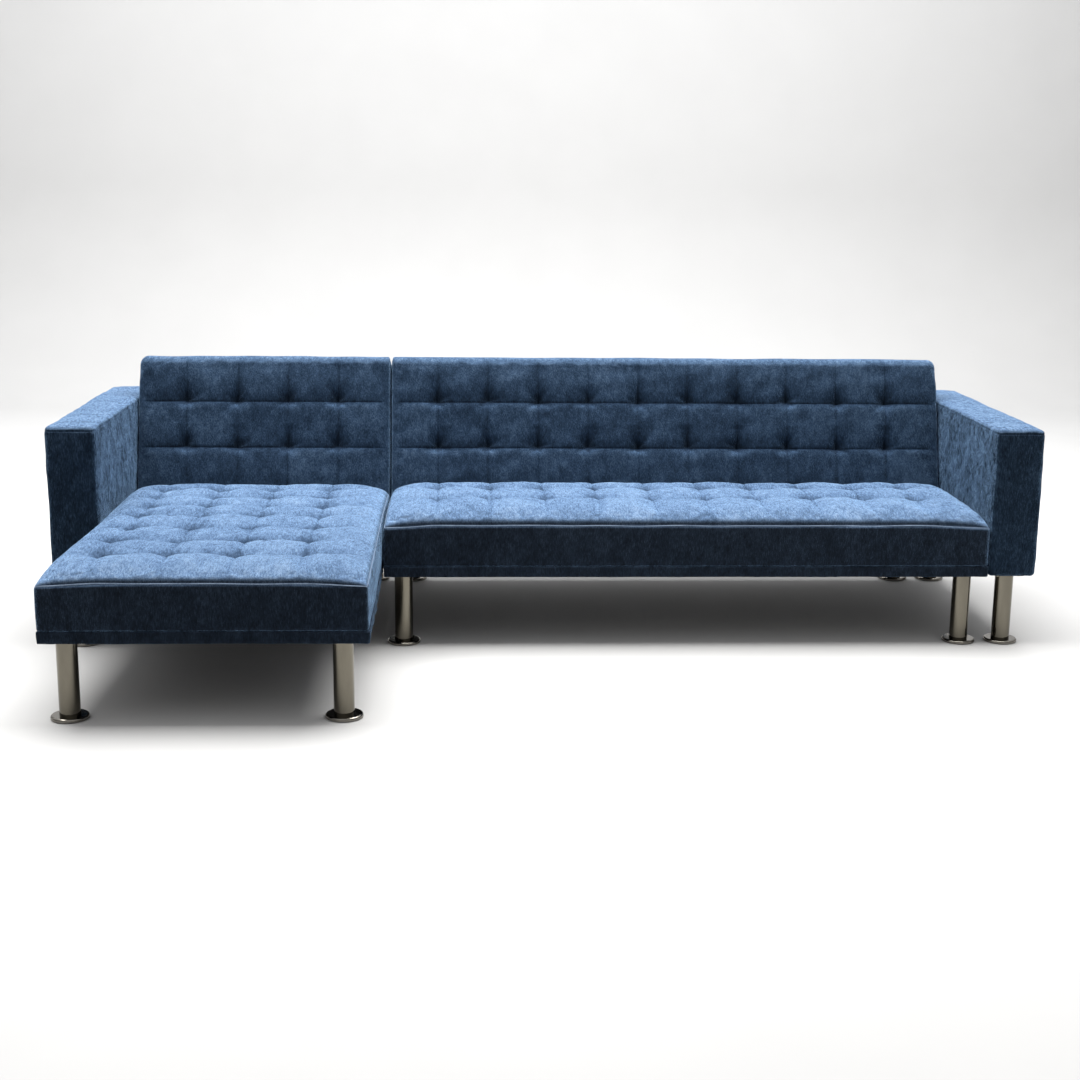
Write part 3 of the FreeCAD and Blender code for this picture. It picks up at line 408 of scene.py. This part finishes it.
def back_cushion(section, columns, rows, seed):
    """One back: a thick pad, quilted on its front, plain on its rear, leaning back over the hinge line."""
    low_x, high_x = (corner.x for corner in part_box(f"{section}_back_cover"))
    low_x, high_x = low_x - BACK_SWELL, high_x + BACK_SWELL
    ends = [low_x + BACK_END_ROUND, high_x - BACK_END_ROUND]
    xs = ticks(low_x, high_x, [*columns, *ends], PANEL_STEP, STITCH_FINE, STITCH_REACH)
    turns = [BACK_ROUND, BACK_LONG - BACK_ROUND]
    ys = ticks(0.0, BACK_LONG, [*rows, *turns], PANEL_STEP, STITCH_FINE, STITCH_REACH)
    zs = ticks(-BACK_THICK, 0.0, [-BACK_THICK + BACK_ROUND, -BACK_ROUND], SIDE_STEP, 0.005, 0.02)
    block = Block(xs, ys, zs, back_radii)
    front = block.face(2, True)
    flat = block.flat[front]
    span_x = np.minimum(flat[:, 0] - low_x, high_x - flat[:, 0])
    span_y = np.minimum(flat[:, 1], BACK_LONG - flat[:, 1])
    inward = smooth(span_x, 0.004, 0.05) * smooth(span_y, 0.004, 0.05)
    quilting, crease_shade = quilt(flat, columns, rows, BACK_STYLE, seed)
    quilting += 0.0016 * ripple(flat, seed + 1, 0.18)
    quilting += 0.0006 * ripple(flat, seed + 2, 0.05)
    height = quilting * inward
    height += 0.0040 * smooth(np.minimum(span_x, span_y), 0.0, 0.09)
    block.points[front] += block.out[front] * height[:, None]
    rest = ~front
    free = np.minimum(smooth(block.flat[:, 1], 0.06, 0.12), smooth(block.edge_distance((0,)), 0.004, 0.04))
    uneven = 0.0010 * free * ripple(block.flat, seed + 3, 0.20) - 0.0006 * (1.0 - free)
    block.points[rest] += block.out[rest] * uneven[rest, None]
    rear = block.face(2, False)
    block.points[rear, 2] -= 0.002 * smooth(block.edge_distance((0, 1))[rear], 0.06, 0.14)
    inflate(block, columns, rows, **BACK_FILL)
    tones = np.zeros(len(block.points))
    tones[front] = panel_tone(flat, columns, rows, seed) * inward
    # Crease depth, which the material paints as shade.
    crease_shades = np.zeros(len(block.points))
    crease_shades[front] = crease_shade * inward
    item = cushion_mesh(f"{section}_back_cushion", block, tones, crease_shades, BACK_TO_WORLD)
    cut_hinge_slots(item, low_x + BACK_SWELL, high_x - BACK_SWELL)
    return item


SLOT_FROM_END = (0.0400, 0.0625)
SLOT_UP = 0.056
SLOT_DEEP = 0.006
SLOT_OVERRUN = 0.05


def cut_hinge_slots(item, low_x, high_x):
    """Open the slots in the low rear corner that the hinge plates swing through."""
    near, far = SLOT_FROM_END
    spans = [(low_x + near, low_x + far), (high_x - far, high_x - near)]
    below_to_top = (-SLOT_OVERRUN, SLOT_UP)
    behind_to_depth = (-BACK_THICK - SLOT_OVERRUN, -SLOT_DEEP)
    points, quads = [], []
    for left, right in spans:
        start = len(points)
        points += [(x, y, z) for x in (left, right) for y in below_to_top for z in behind_to_depth]
        quads += [[start + i for i in quad] for quad in
                  ((0, 1, 3, 2), (4, 6, 7, 5), (0, 4, 5, 1), (2, 3, 7, 6), (0, 2, 6, 4), (1, 5, 7, 3))]
    cutter = mesh_object("slot_cutter", points, quads, BACK_TO_WORLD)
    carve = item.modifiers.new("slots", "BOOLEAN")
    carve.object = cutter
    carve.operation = "DIFFERENCE"
    carve.solver = "EXACT"
    keep_result(item)
    bpy.data.objects.remove(cutter)


def keep_result(item):
    """Replace an object's mesh by what its modifiers make of it."""
    graph = bpy.context.evaluated_depsgraph_get()
    made = bpy.data.meshes.new_from_object(item.evaluated_get(graph))
    item.modifiers.clear()
    item.data = made


# ---------------------------------------------------------------- arms and base bands

ARM_ROUND = 0.013
ARM_REAR_ROUND = 0.045
ARM_SEAM_DOWN = 0.012
LIP = 0.020
CLOTH_THICK = 0.002


def open_underside(block):
    """The faces that are left when the panel inside the turned-under lip is taken out."""
    inside = np.minimum(block.flat[:, :2] - block.low[:2], block.high[:2] - block.flat[:, :2]).min(axis=1)
    within = block.face(2, False) & (inside > LIP - 1e-6)
    quads = block.quads()
    return quads[~within[quads].all(axis=1)]


def open_shell(name, block):
    """A cover of real thickness, open underneath inside its lip."""
    quads = open_underside(block)
    used = np.unique(quads)
    renumber = np.full(len(block.points), -1)
    renumber[used] = np.arange(len(used))
    item = mesh_object(name, block.points[used], renumber[quads])
    wall = item.modifiers.new("wall", "SOLIDIFY")
    wall.thickness = CLOTH_THICK
    wall.offset = -1.0
    keep_result(item)
    return item


def arm_pad(arm, seed):
    """A boxy upholstered arm with a stitched top panel and a rounded top rear corner."""
    low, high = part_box(f"{arm}_cover")
    seam_z = high.z - ARM_SEAM_DOWN
    seam_y = low.y + ARM_SEAM_DOWN
    lips_x = [low.x + LIP, high.x - LIP]
    lips_y = [low.y + LIP, high.y - LIP]
    xs = ticks(low.x, high.x, [*lips_x, low.x + ARM_ROUND, high.x - ARM_ROUND], 0.010, 0.003, 0.02)
    ys = ticks(low.y, high.y, [*lips_y, seam_y, high.y - ARM_REAR_ROUND], 0.011, 0.0016, 0.03)
    zs = ticks(low.z, high.z, [seam_z, high.z - ARM_REAR_ROUND, low.z + ARM_ROUND], 0.011, 0.0016, 0.03)
    block = Block(xs, ys, zs, ARM_ROUND)
    flat, out = block.flat, block.out
    side = block.face(0, False) | block.face(0, True)
    front = block.face(1, False)
    ends = front | block.face(1, True)
    top = block.face(2, True)
    seam = np.where(side | front, bump(flat[:, 2] - seam_z, 0.0016), 0.0)
    seam = np.maximum(seam, np.where(side, bump(flat[:, 1] - seam_y, 0.0016), 0.0))
    swell = np.where(side, block.edge_distance((1, 2)), 0.0)
    swell = np.where(top, block.edge_distance((0, 1)), swell)
    swell = np.where(ends, block.edge_distance((0, 2)), swell)
    pull = bump(flat[:, 2] - seam_z, 0.012) * np.where(front | side, 1.0, 0.0)
    height = 0.0030 * smooth(swell, 0.0, 0.055) - 0.0016 * seam
    height += 0.0013 * ripple(flat, seed, 0.24) + 0.0006 * ripple(flat, seed + 1, 0.07)
    height += 0.0007 * pull * ripple(flat, seed + 2, 0.035)
    block.points += out * height[:, None]
    turn_from = np.array([high.y - ARM_REAR_ROUND, high.z - ARM_REAR_ROUND])
    turn_corner(block.points, [1, 2], turn_from, np.array([1, 1]))
    return open_shell(f"{arm}_pad", block)


def base_band(section, seed):
    """The upholstered platform under a seat, with a soft band round its edge, open inside its lip."""
    low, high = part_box(f"{section}_base_cover")
    xs = ticks(low.x, high.x, [low.x + LIP, high.x - LIP], 0.016, 0.003, 0.04)
    ys = ticks(low.y, high.y, [low.y + LIP, high.y - LIP], 0.016, 0.003, 0.04)
    zs = ticks(low.z, high.z - 0.0003, [], 0.0035, 0.0025, 0.01)
    block = Block(xs, ys, zs, 0.0025)
    side = block.face(0, False) | block.face(0, True) | block.face(1, False) | block.face(1, True)
    ends = np.minimum(block.flat[:, 0] - low.x, high.x - block.flat[:, 0])
    gather = bump(ends, 0.05) * np.where(side, 1.0, 0.0)
    wrinkle = 0.0009 * ripple(block.flat, seed, 0.11)
    wrinkle += 0.0005 * (1.0 + 2.0 * gather) * ripple(block.flat, seed + 1, 0.035)
    block.points += block.out * (np.where(side, 0.0010 + wrinkle, 0.0))[:, None] * np.array([1.0, 1.0, 0.25])
    flare(section, block.points)
    return open_shell(f"{section}_base_band", block)


# ---------------------------------------------------------------- piping


def tube(name, path, radius, sides=8):
    """A closed round cord along a closed path of points."""
    points = np.asarray(path)
    ahead = np.roll(points, -1, axis=0) - np.roll(points, 1, axis=0)
    ahead /= np.linalg.norm(ahead, axis=1)[:, None]
    up = np.tile(np.array([0.0, 0.0, 1.0]), (len(points), 1))
    side = np.cross(ahead, up)
    side /= np.linalg.norm(side, axis=1)[:, None]
    up = np.cross(side, ahead)
    turns = np.linspace(0.0, 2.0 * math.pi, sides, endpoint=False)
    rings = [points + radius * (math.cos(turn) * side + math.sin(turn) * up) for turn in turns]
    cloud = np.stack(rings, axis=1).reshape(-1, 3)
    count = len(points)
    index = np.arange(count * sides).reshape(count, sides)
    after = np.roll(index, -1, axis=0)
    quads = np.stack([index, np.roll(index, -1, axis=1), np.roll(after, -1, axis=1), after], axis=-1)
    return mesh_object(name, cloud, quads.reshape(-1, 4))


PIPING_RADIUS = 0.0014


def seat_piping(section, block, seed):
    """The piping cord sewn in along the top edge of the boxed sides."""
    ring = [(i, 0) for i in range(block.shape[0])]
    ring += [(block.shape[0] - 1, j) for j in range(1, block.shape[1])]
    ring += [(i, block.shape[1] - 1) for i in range(block.shape[0] - 2, -1, -1)]
    ring += [(0, j) for j in range(block.shape[1] - 2, 0, -1)]
    path = np.array([block.points[block.index[i, j, -1]] for i, j in ring])
    steps = np.linalg.norm(np.diff(path, axis=0), axis=1)
    travelled = np.concatenate([[0.0], np.cumsum(steps)])
    places = np.arange(0.0, travelled[-1], 0.008)
    path = np.stack([np.interp(places, travelled, path[:, way]) for way in range(3)], axis=1)
    path[:, 2] += 0.0006 + 0.0008 * ripple(path, seed, 0.16)
    return tube(f"{section}_seat_piping", path, PIPING_RADIUS)


# ---------------------------------------------------------------- materials


def new_material(name):
    """A material with an empty tree, its shader and a helper that adds linked nodes."""
    material = bpy.data.materials.new(name)
    material.use_nodes = True
    tree = material.node_tree
    tree.nodes.clear()
    output = tree.nodes.new("ShaderNodeOutputMaterial")
    shader = tree.nodes.new("ShaderNodeBsdfPrincipled")
    tree.links.new(shader.outputs["BSDF"], output.inputs["Surface"])
    return material, tree, shader


def add(tree, kind, settings=None, **inputs):
    """A node with some settings and with inputs given as values or as sockets to link."""
    node = tree.nodes.new(kind)
    for key, value in (settings or {}).items():
        setattr(node, key, value)
    for key, value in inputs.items():
        socket = node.inputs[int(key[1:])] if key[0] == "i" and key[1:].isdigit() else node.inputs[key]
        if isinstance(value, bpy.types.NodeSocket):
            tree.links.new(value, socket)
        else:
            socket.default_value = value
    return node


def scaled_noise(tree, coordinates, scale, detail=3.0, roughness=0.55):
    """Noise whose grain has its own size along each axis, in cycles per metre."""
    mapping = add(tree, "ShaderNodeMapping", None, Vector=coordinates, Scale=scale)
    noise = add(tree, "ShaderNodeTexNoise", None, Vector=mapping.outputs["Vector"], Scale=1.0, Detail=detail,
                Roughness=roughness)
    return noise.outputs["Fac"]


def weighted(tree, terms):
    """A weighted sum of sockets."""
    total = None
    for socket, weight in terms:
        part = add(tree, "ShaderNodeMath", {"operation": "MULTIPLY"}, i0=socket, i1=weight).outputs[0]
        if total is not None:
            part = add(tree, "ShaderNodeMath", {"operation": "ADD"}, i0=total, i1=part).outputs[0]
        total = part
    return total


def mapped(tree, socket, source, target, how="LINEAR"):
    """A socket's value carried over from one range to another."""
    node = add(tree, "ShaderNodeMapRange", {"interpolation_type": how}, Value=socket, **{
        "From Min": source[0], "From Max": source[1], "To Min": target[0], "To Max": target[1]})
    return node.outputs["Result"]


def grey(level):
    """A neutral colour."""
    return (level, level, level)


def ramp(tree, socket, stops):
    """A colour ramp through (place, colour) stops."""
    node = add(tree, "ShaderNodeValToRGB", None, Fac=socket)
    band = node.color_ramp
    while len(band.elements) > len(stops):
        band.elements.remove(band.elements[-1])
    while len(band.elements) < len(stops):
        band.elements.new(1.0)
    for element, (place, colour) in zip(band.elements, stops):
        element.position = place
        element.color = (*colour, 1.0)
    return node.outputs["Color"]


def chenille(name, upright, flat_painted_light, sheen, mottle=0.75):
    """Blue chenille velvet, with painted shade on upright faces and painted light on flat ones, streaks along
    the pile, cloudy patches, its own tone of nap in each panel, painted shade in the seams and tufts and a
    mottled sheen."""
    material, tree, shader = new_material(name)
    place = add(tree, "ShaderNodeTexCoord")
    where = place.outputs["Object"]
    rise = add(tree, "ShaderNodeSeparateXYZ", None, Vector=place.outputs["Normal"]).outputs["Z"]
    level = add(tree, "ShaderNodeMath", {"operation": "ABSOLUTE"}, i0=rise).outputs[0]
    flatness = mapped(tree, level, (0.62, 0.82), (0.0, 1.0), "SMOOTHSTEP")
    upright_streak = scaled_noise(tree, where, (480.0, 480.0, 85.0), 2.0)
    lying_streak = scaled_noise(tree, where, (300.0, 80.0, 200.0), 2.0)
    streak = add(tree, "ShaderNodeMix", {"data_type": "FLOAT"}, i0=flatness, i2=upright_streak,
                 i3=lying_streak).outputs[0]
    cloud = scaled_noise(tree, where, (14.0, 12.0, 10.0), 4.0, 0.62)
    patch = scaled_noise(tree, where, (70.0, 46.0, 36.0), 3.0, 0.65)
    fleck = scaled_noise(tree, where, (1100.0, 1100.0, 650.0), 1.0)
    nap = add(tree, "ShaderNodeAttribute", {"attribute_name": "nap"}).outputs["Fac"]
    crease_shade = add(tree, "ShaderNodeAttribute", {"attribute_name": "crease_shade"}).outputs["Fac"]
    # The crease term paints shade into the seams and tufts, in the colour and in the sheen weight.
    shade = weighted(tree, [
        (streak, 0.50), (cloud, 0.24), (patch, 0.30), (fleck, 0.20), (nap, 0.025), (crease_shade, -0.30),
    ])
    shade = mapped(tree, shade, (0.42, 0.82), (0.0, 1.0))
    # Upright faces take the dark copy, which is painted shade, and faces turned up take the pale copy, which
    # is painted light.
    upright_tone = ramp(tree, shade, [(0.0, upright[0]), (0.5, upright[1]), (1.0, upright[2])])
    flat_painted_light_tone = ramp(tree, shade, [(0.0, flat_painted_light[0]), (0.5, flat_painted_light[1]), (1.0, flat_painted_light[2])])
    # How far a face turns up, which blends in the painted light of flat faces.
    painted_light_mix = mapped(tree, rise, (0.12, 1.0), (0.0, 1.0), "SMOOTHSTEP")
    colour = add(tree, "ShaderNodeMix", {"data_type": "RGBA"}, i0=painted_light_mix, i6=upright_tone,
                 i7=flat_painted_light_tone).outputs[2]
    tree.links.new(colour, shader.inputs["Base Color"])
    rough = mapped(tree, shade, (0.0, 1.0), (0.97, 0.82))
    tree.links.new(rough, shader.inputs["Roughness"])
    shader.inputs["Specular IOR Level"].default_value = 0.08
    glow = mapped(tree, shade, (0.25, 0.75), ((1.0 - mottle) * sheen, (1.0 + mottle) * sheen))
    tree.links.new(glow, shader.inputs["Sheen Weight"])
    shader.inputs["Sheen Roughness"].default_value = 0.32
    shader.inputs["Sheen Tint"].default_value = (0.37, 0.61, 0.96, 1.0)
    pile = weighted(tree, [(streak, 0.5), (fleck, 0.4), (patch, 0.6), (cloud, 0.5)])
    relief = add(tree, "ShaderNodeBump", None, Height=pile, Strength=0.8, Distance=0.006)
    tree.links.new(relief.outputs["Normal"], shader.inputs["Normal"])
    return material


def piping_cloth(name):
    """Piping cut from the same cloth, paler than the cushions, with a twisted thread."""
    material, tree, shader = new_material(name)
    where = add(tree, "ShaderNodeTexCoord").outputs["Object"]
    grain = scaled_noise(tree, where, (500.0, 500.0, 500.0), 2.0)
    drift = scaled_noise(tree, where, (20.0, 20.0, 20.0), 2.0)
    shade = weighted(tree, [(grain, 0.5), (drift, 0.5)])
    colour = ramp(tree, shade, [(0.3, (0.05, 0.08, 0.13)), (0.7, (0.24, 0.32, 0.44))])
    tree.links.new(colour, shader.inputs["Base Color"])
    shader.inputs["Roughness"].default_value = 0.85
    shader.inputs["Sheen Weight"].default_value = 0.5
    shader.inputs["Sheen Roughness"].default_value = 0.4
    shader.inputs["Sheen Tint"].default_value = (0.5, 0.66, 1.0, 1.0)
    relief = add(tree, "ShaderNodeBump", None, Height=grain, Strength=0.5, Distance=0.001)
    tree.links.new(relief.outputs["Normal"], shader.inputs["Normal"])
    return material


def metal(name, colour, roughness, wear, grain):
    """Bare or plated metal with faint rubbing marks."""
    material, tree, shader = new_material(name)
    where = add(tree, "ShaderNodeTexCoord").outputs["Object"]
    marks = scaled_noise(tree, where, grain, 4.0, 0.65)
    shader.inputs["Metallic"].default_value = 1.0
    tone = ramp(tree, marks, [(0.3, tuple(0.88 * part for part in colour)), (0.7, colour)])
    tree.links.new(tone, shader.inputs["Base Color"])
    rough = mapped(tree, marks, (0.3, 0.75), (roughness, roughness + wear))
    tree.links.new(rough, shader.inputs["Roughness"])
    relief = add(tree, "ShaderNodeBump", None, Height=marks, Strength=0.04, Distance=0.0005)
    tree.links.new(relief.outputs["Normal"], shader.inputs["Normal"])
    return material


def matt(name, dark, pale, grain, roughness, strength):
    """A dull material with grain in its colour and its surface."""
    material, tree, shader = new_material(name)
    where = add(tree, "ShaderNodeTexCoord").outputs["Object"]
    figure = scaled_noise(tree, where, grain, 4.0, 0.6)
    speck = scaled_noise(tree, where, (700.0, 700.0, 700.0), 1.0)
    shade = weighted(tree, [(figure, 0.75), (speck, 0.25)])
    tree.links.new(ramp(tree, shade, [(0.3, dark), (0.72, pale)]), shader.inputs["Base Color"])
    shader.inputs["Roughness"].default_value = roughness
    relief = add(tree, "ShaderNodeBump", None, Height=shade, Strength=strength, Distance=0.001)
    tree.links.new(relief.outputs["Normal"], shader.inputs["Normal"])
    return material


# The fabric's own navy heather, each in a dark copy for upright faces, which is painted shade, and a pale
# copy for faces turned up, which is painted light; the base's pale copy is kept dim.
NAVY_UPRIGHT_PAINTED_SHADE = ((0.0025, 0.0044, 0.0074), (0.0070, 0.0122, 0.0215), (0.021, 0.033, 0.053))
NAVY_FLAT_PAINTED_LIGHT = ((0.032, 0.060, 0.115), (0.105, 0.175, 0.300), (0.250, 0.350, 0.500))
BACK_NAVY_UPRIGHT_PAINTED_SHADE = ((0.0034, 0.0080, 0.0155), (0.0105, 0.0235, 0.0460), (0.036, 0.064, 0.108))
BACK_NAVY_FLAT_PAINTED_LIGHT = ((0.014, 0.028, 0.056), (0.050, 0.092, 0.165), (0.135, 0.200, 0.300))
BASE_NAVY_FLAT_PAINTED_LIGHT = ((0.003, 0.006, 0.011), (0.014, 0.024, 0.042), (0.050, 0.074, 0.112))
ARM_NAVY_FLAT_PAINTED_LIGHT = ((0.024, 0.046, 0.090), (0.076, 0.130, 0.225), (0.190, 0.270, 0.390))
ARM_NAVY_UPRIGHT_PAINTED_SHADE = ((0.0016, 0.0045, 0.0088), (0.0072, 0.0170, 0.0330), (0.026, 0.048, 0.082))

MATERIALS = {
    "seat_fabric": chenille("seat_chenille", NAVY_UPRIGHT_PAINTED_SHADE, NAVY_FLAT_PAINTED_LIGHT, 0.75),
    "back_fabric": chenille("back_chenille", BACK_NAVY_UPRIGHT_PAINTED_SHADE, BACK_NAVY_FLAT_PAINTED_LIGHT, 0.55),
    "arm_fabric": chenille("arm_chenille", ARM_NAVY_UPRIGHT_PAINTED_SHADE, ARM_NAVY_FLAT_PAINTED_LIGHT, 0.42, 1.0),
    "base_fabric": chenille("base_chenille", NAVY_UPRIGHT_PAINTED_SHADE, BASE_NAVY_FLAT_PAINTED_LIGHT, 0.25),
    "piping": piping_cloth("piping_cloth"),
    # The chrome colours are the plating's own, set dark and brownish as painted shade and a painted brown
    # reflection of the surroundings.
    "leg_tube_chrome": metal("leg_tube_chrome", (0.155, 0.142, 0.114), 0.07, 0.08, (60.0, 60.0, 14.0)),
    "foot_chrome": metal("foot_chrome", (0.24, 0.225, 0.20), 0.06, 0.08, (70.0, 70.0, 70.0)),
    "plate_steel": matt("black_plate", (0.015, 0.015, 0.017), (0.05, 0.05, 0.055), (40.0,) * 3, 0.5, 0.1),
    "hinge_steel": metal("hinge_zinc", (0.50, 0.51, 0.53), 0.32, 0.15, (240.0, 30.0, 240.0)),
    "screw_steel": metal("screw_zinc", (0.62, 0.58, 0.44), 0.30, 0.15, (200.0, 200.0, 200.0)),
    "spring_steel": metal("spring_wire", (0.33, 0.34, 0.36), 0.38, 0.15, (300.0, 40.0, 300.0)),
    "glide_plastic": matt("glide_nylon", grey(0.012), grey(0.035), (90.0, 90.0, 90.0), 0.6, 0.1),
    "dust_cloth": matt("dust_cloth", (0.006, 0.006, 0.007), (0.025, 0.025, 0.027), (260.0,) * 3, 0.95, 0.4),
    "foam": matt("foam", (0.52, 0.46, 0.30), (0.80, 0.75, 0.58), (420.0, 420.0, 420.0), 0.95, 0.5),
    "frame_timber": matt("pine", (0.36, 0.22, 0.11), (0.68, 0.50, 0.30), (9.0, 120.0, 120.0), 0.65, 0.2),
}


def dress(item, material):
    """Give a piece the material of a slot."""
    item.data.materials.clear()
    item.data.materials.append(MATERIALS[material])


def dress_cad_nodes():
    """Every CAD node that stays takes the procedural material of its own slot."""
    slots = {entry["node"]: entry["material_slot"] for entry in frame["record"]["subparts"]}
    for name, item in frame["nodes"].items():
        for place in item.material_slots:
            place.material = MATERIALS[slots[name]]


# ---------------------------------------------------------------- the soft pieces

BACK_ROWS = (0.166, 0.304)
BACK_COLUMNS = {"chaise": (0.145, 0.150, 4), "sofa": (0.139, 0.151, 10)}
SEAT_COLUMNS = {"chaise": (0.111, 0.159, 4), "sofa": (0.143, 0.151, 10)}
SEAT_ROWS = {"chaise": (0.183, 0.336, 0.488, 0.636, 0.762, 0.886, 1.005), "sofa": (0.207, 0.357)}


def even(start, layout):
    """Places of tufts across a cushion: the first one's distance in, the pitch and how many."""
    first, pitch, count = layout
    return [start + first + pitch * step for step in range(count)]


def upholster():
    """Make every soft piece, ride it on its body and let it stand for its CAD solids."""
    for order, section in enumerate(SECTIONS):
        low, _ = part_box(f"{section}_seat_cover")
        rows = [low.y + reach for reach in SEAT_ROWS[section]]
        seat, block = seat_cushion(section, even(low.x, SEAT_COLUMNS[section]), rows, 10 + order)
        settle(seat, "root", (f"{section}_seat_cover", f"{section}_seat_foam"), "seat_fabric")
        piping = seat_piping(section, block, 30 + order)
        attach(piping, "root")
        dress(piping, "piping")
        settle(base_band(section, 40 + order), "root", (f"{section}_base_cover",), "base_fabric")
        low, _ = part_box(f"{section}_back_cover")
        back = back_cushion(section, even(low.x, BACK_COLUMNS[section]), BACK_ROWS, 20 + order)
        replaced = (f"{section}_back_cover", f"{section}_back_foam")
        settle(back, f"{section}_back", replaced, "back_fabric")
    for order, arm in enumerate(ARMS):
        settle(arm_pad(arm, 50 + order), "root", (f"{arm}_cover", f"{arm}_foam"), "arm_fabric")


def settle(piece, body, nodes, slot):
    """A soft piece rides on a body and stands for a CAD cover and what fills it."""
    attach(piece, body)
    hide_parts(*nodes)
    dress(piece, slot)


# ---------------------------------------------------------------- studio

CAMERA_PLACE = Vector((-0.2293, -4.3954, 1.2704))
CAMERA_PITCH = math.radians(12.700)
CAMERA_YAW = math.radians(2.674)
CAMERA_ROLL = 0.01055
CAMERA_LENS = 53.91


def add_camera():
    """The camera at the viewing angle of the reference."""
    ahead = Vector((
        math.sin(CAMERA_YAW) * math.cos(CAMERA_PITCH),
        math.cos(CAMERA_YAW) * math.cos(CAMERA_PITCH),
        -math.sin(CAMERA_PITCH),
    ))
    level = Vector((math.cos(CAMERA_YAW), -math.sin(CAMERA_YAW), 0.0))
    rise = level.cross(ahead)
    right = math.cos(CAMERA_ROLL) * level + math.sin(CAMERA_ROLL) * rise
    up = math.cos(CAMERA_ROLL) * rise - math.sin(CAMERA_ROLL) * level
    data = bpy.data.cameras.new("camera")
    data.lens = CAMERA_LENS
    data.sensor_width = 36.0
    camera = bpy.data.objects.new("camera", data)
    turn = Matrix((right, up, -ahead)).transposed().to_4x4()
    camera.matrix_world = Matrix.Translation(CAMERA_PLACE) @ turn
    bpy.context.scene.collection.objects.link(camera)
    bpy.context.scene.camera = camera


def add_area_light(name, place, target, size, power, colour):
    """A soft rectangular light aimed at a point."""
    data = bpy.data.lights.new(name, "AREA")
    data.shape = "RECTANGLE"
    data.size, data.size_y = size
    data.energy = power
    data.color = colour
    light = bpy.data.objects.new(name, data)
    light.location = place
    light.rotation_euler = (Vector(target) - Vector(place)).to_track_quat("-Z", "Y").to_euler()
    bpy.context.scene.collection.objects.link(light)


def add_stage():
    """A pale floor that curves up into a pale backdrop."""
    wide, front, bend_start, bend, tall = 9.0, -7.0, 4.5, 1.2, 5.0
    profile = [(front, 0.0), (bend_start, 0.0)]
    for step in range(1, 13):
        turn = math.pi / 2 * step / 12
        profile.append((bend_start + bend * math.sin(turn), bend * (1.0 - math.cos(turn))))
    profile.append((bend_start + bend, tall))
    points = [(x, y, z - 0.0002) for y, z in profile for x in (-wide, wide)]
    quads = [(2 * i, 2 * i + 1, 2 * i + 3, 2 * i + 2) for i in range(len(profile) - 1)]
    floor = mesh_object("studio_floor", points, quads)
    material, tree, shader = new_material("studio_paper")
    where = add(tree, "ShaderNodeTexCoord").outputs["Object"]
    tone = scaled_noise(tree, where, (3.0, 3.0, 3.0), 2.0)
    paper = ramp(tree, tone, [(0.0, grey(0.50)), (1.0, grey(0.53))])
    tree.links.new(paper, shader.inputs["Base Color"])
    shader.inputs["Roughness"].default_value = 0.9
    floor.data.materials.append(material)


def add_world():
    """Soft studio surroundings: bright overhead, pale behind, dim in front and dark at the sides."""
    world = bpy.data.worlds.new("studio_world")
    world.use_nodes = True
    bpy.context.scene.world = world
    tree = world.node_tree
    tree.nodes.clear()
    place = add(tree, "ShaderNodeTexCoord").outputs["Generated"]
    ways = add(tree, "ShaderNodeSeparateXYZ", None, Vector=place)
    height = ramp(tree, ways.outputs["Z"], [(0.0, grey(0.0)), (0.25, grey(0.10)), (1.0, grey(1.0))])
    depth = mapped(tree, ways.outputs["Y"], (-1.0, 1.0), (0.0, 1.0))
    around = ramp(tree, depth, [
        (0.0, (0.20, 0.19, 0.18)), (0.08, (0.16, 0.155, 0.15)), (0.22, (0.02, 0.02, 0.022)),
        (0.5, (0.05, 0.05, 0.055)), (0.75, (0.5, 0.5, 0.5)), (1.0, (0.85, 0.86, 0.88)),
    ])
    colour = add(tree, "ShaderNodeMix", {"data_type": "RGBA", "blend_type": "ADD"}, i0=1.0, i6=height,
                 i7=around).outputs[2]
    background = add(tree, "ShaderNodeBackground", None, Color=colour, Strength=1.0)
    output = tree.nodes.new("ShaderNodeOutputWorld")
    tree.links.new(background.outputs["Background"], output.inputs["Surface"])


upholster()
dress_cad_nodes()
add_camera()
add_stage()
add_world()
add_area_light("overhead", (-0.25, 0.34, 3.1), (-0.25, 0.30, 0.0), (4.8, 2.4), 335.0, (1.0, 0.99, 0.97))
add_area_light("backdrop", (0.0, 2.9, 4.2), (0.0, 5.6, 1.2), (7.0, 1.2), 260.0, (1.0, 1.0, 1.0))
bpy.context.scene.view_settings.view_transform = "Standard"
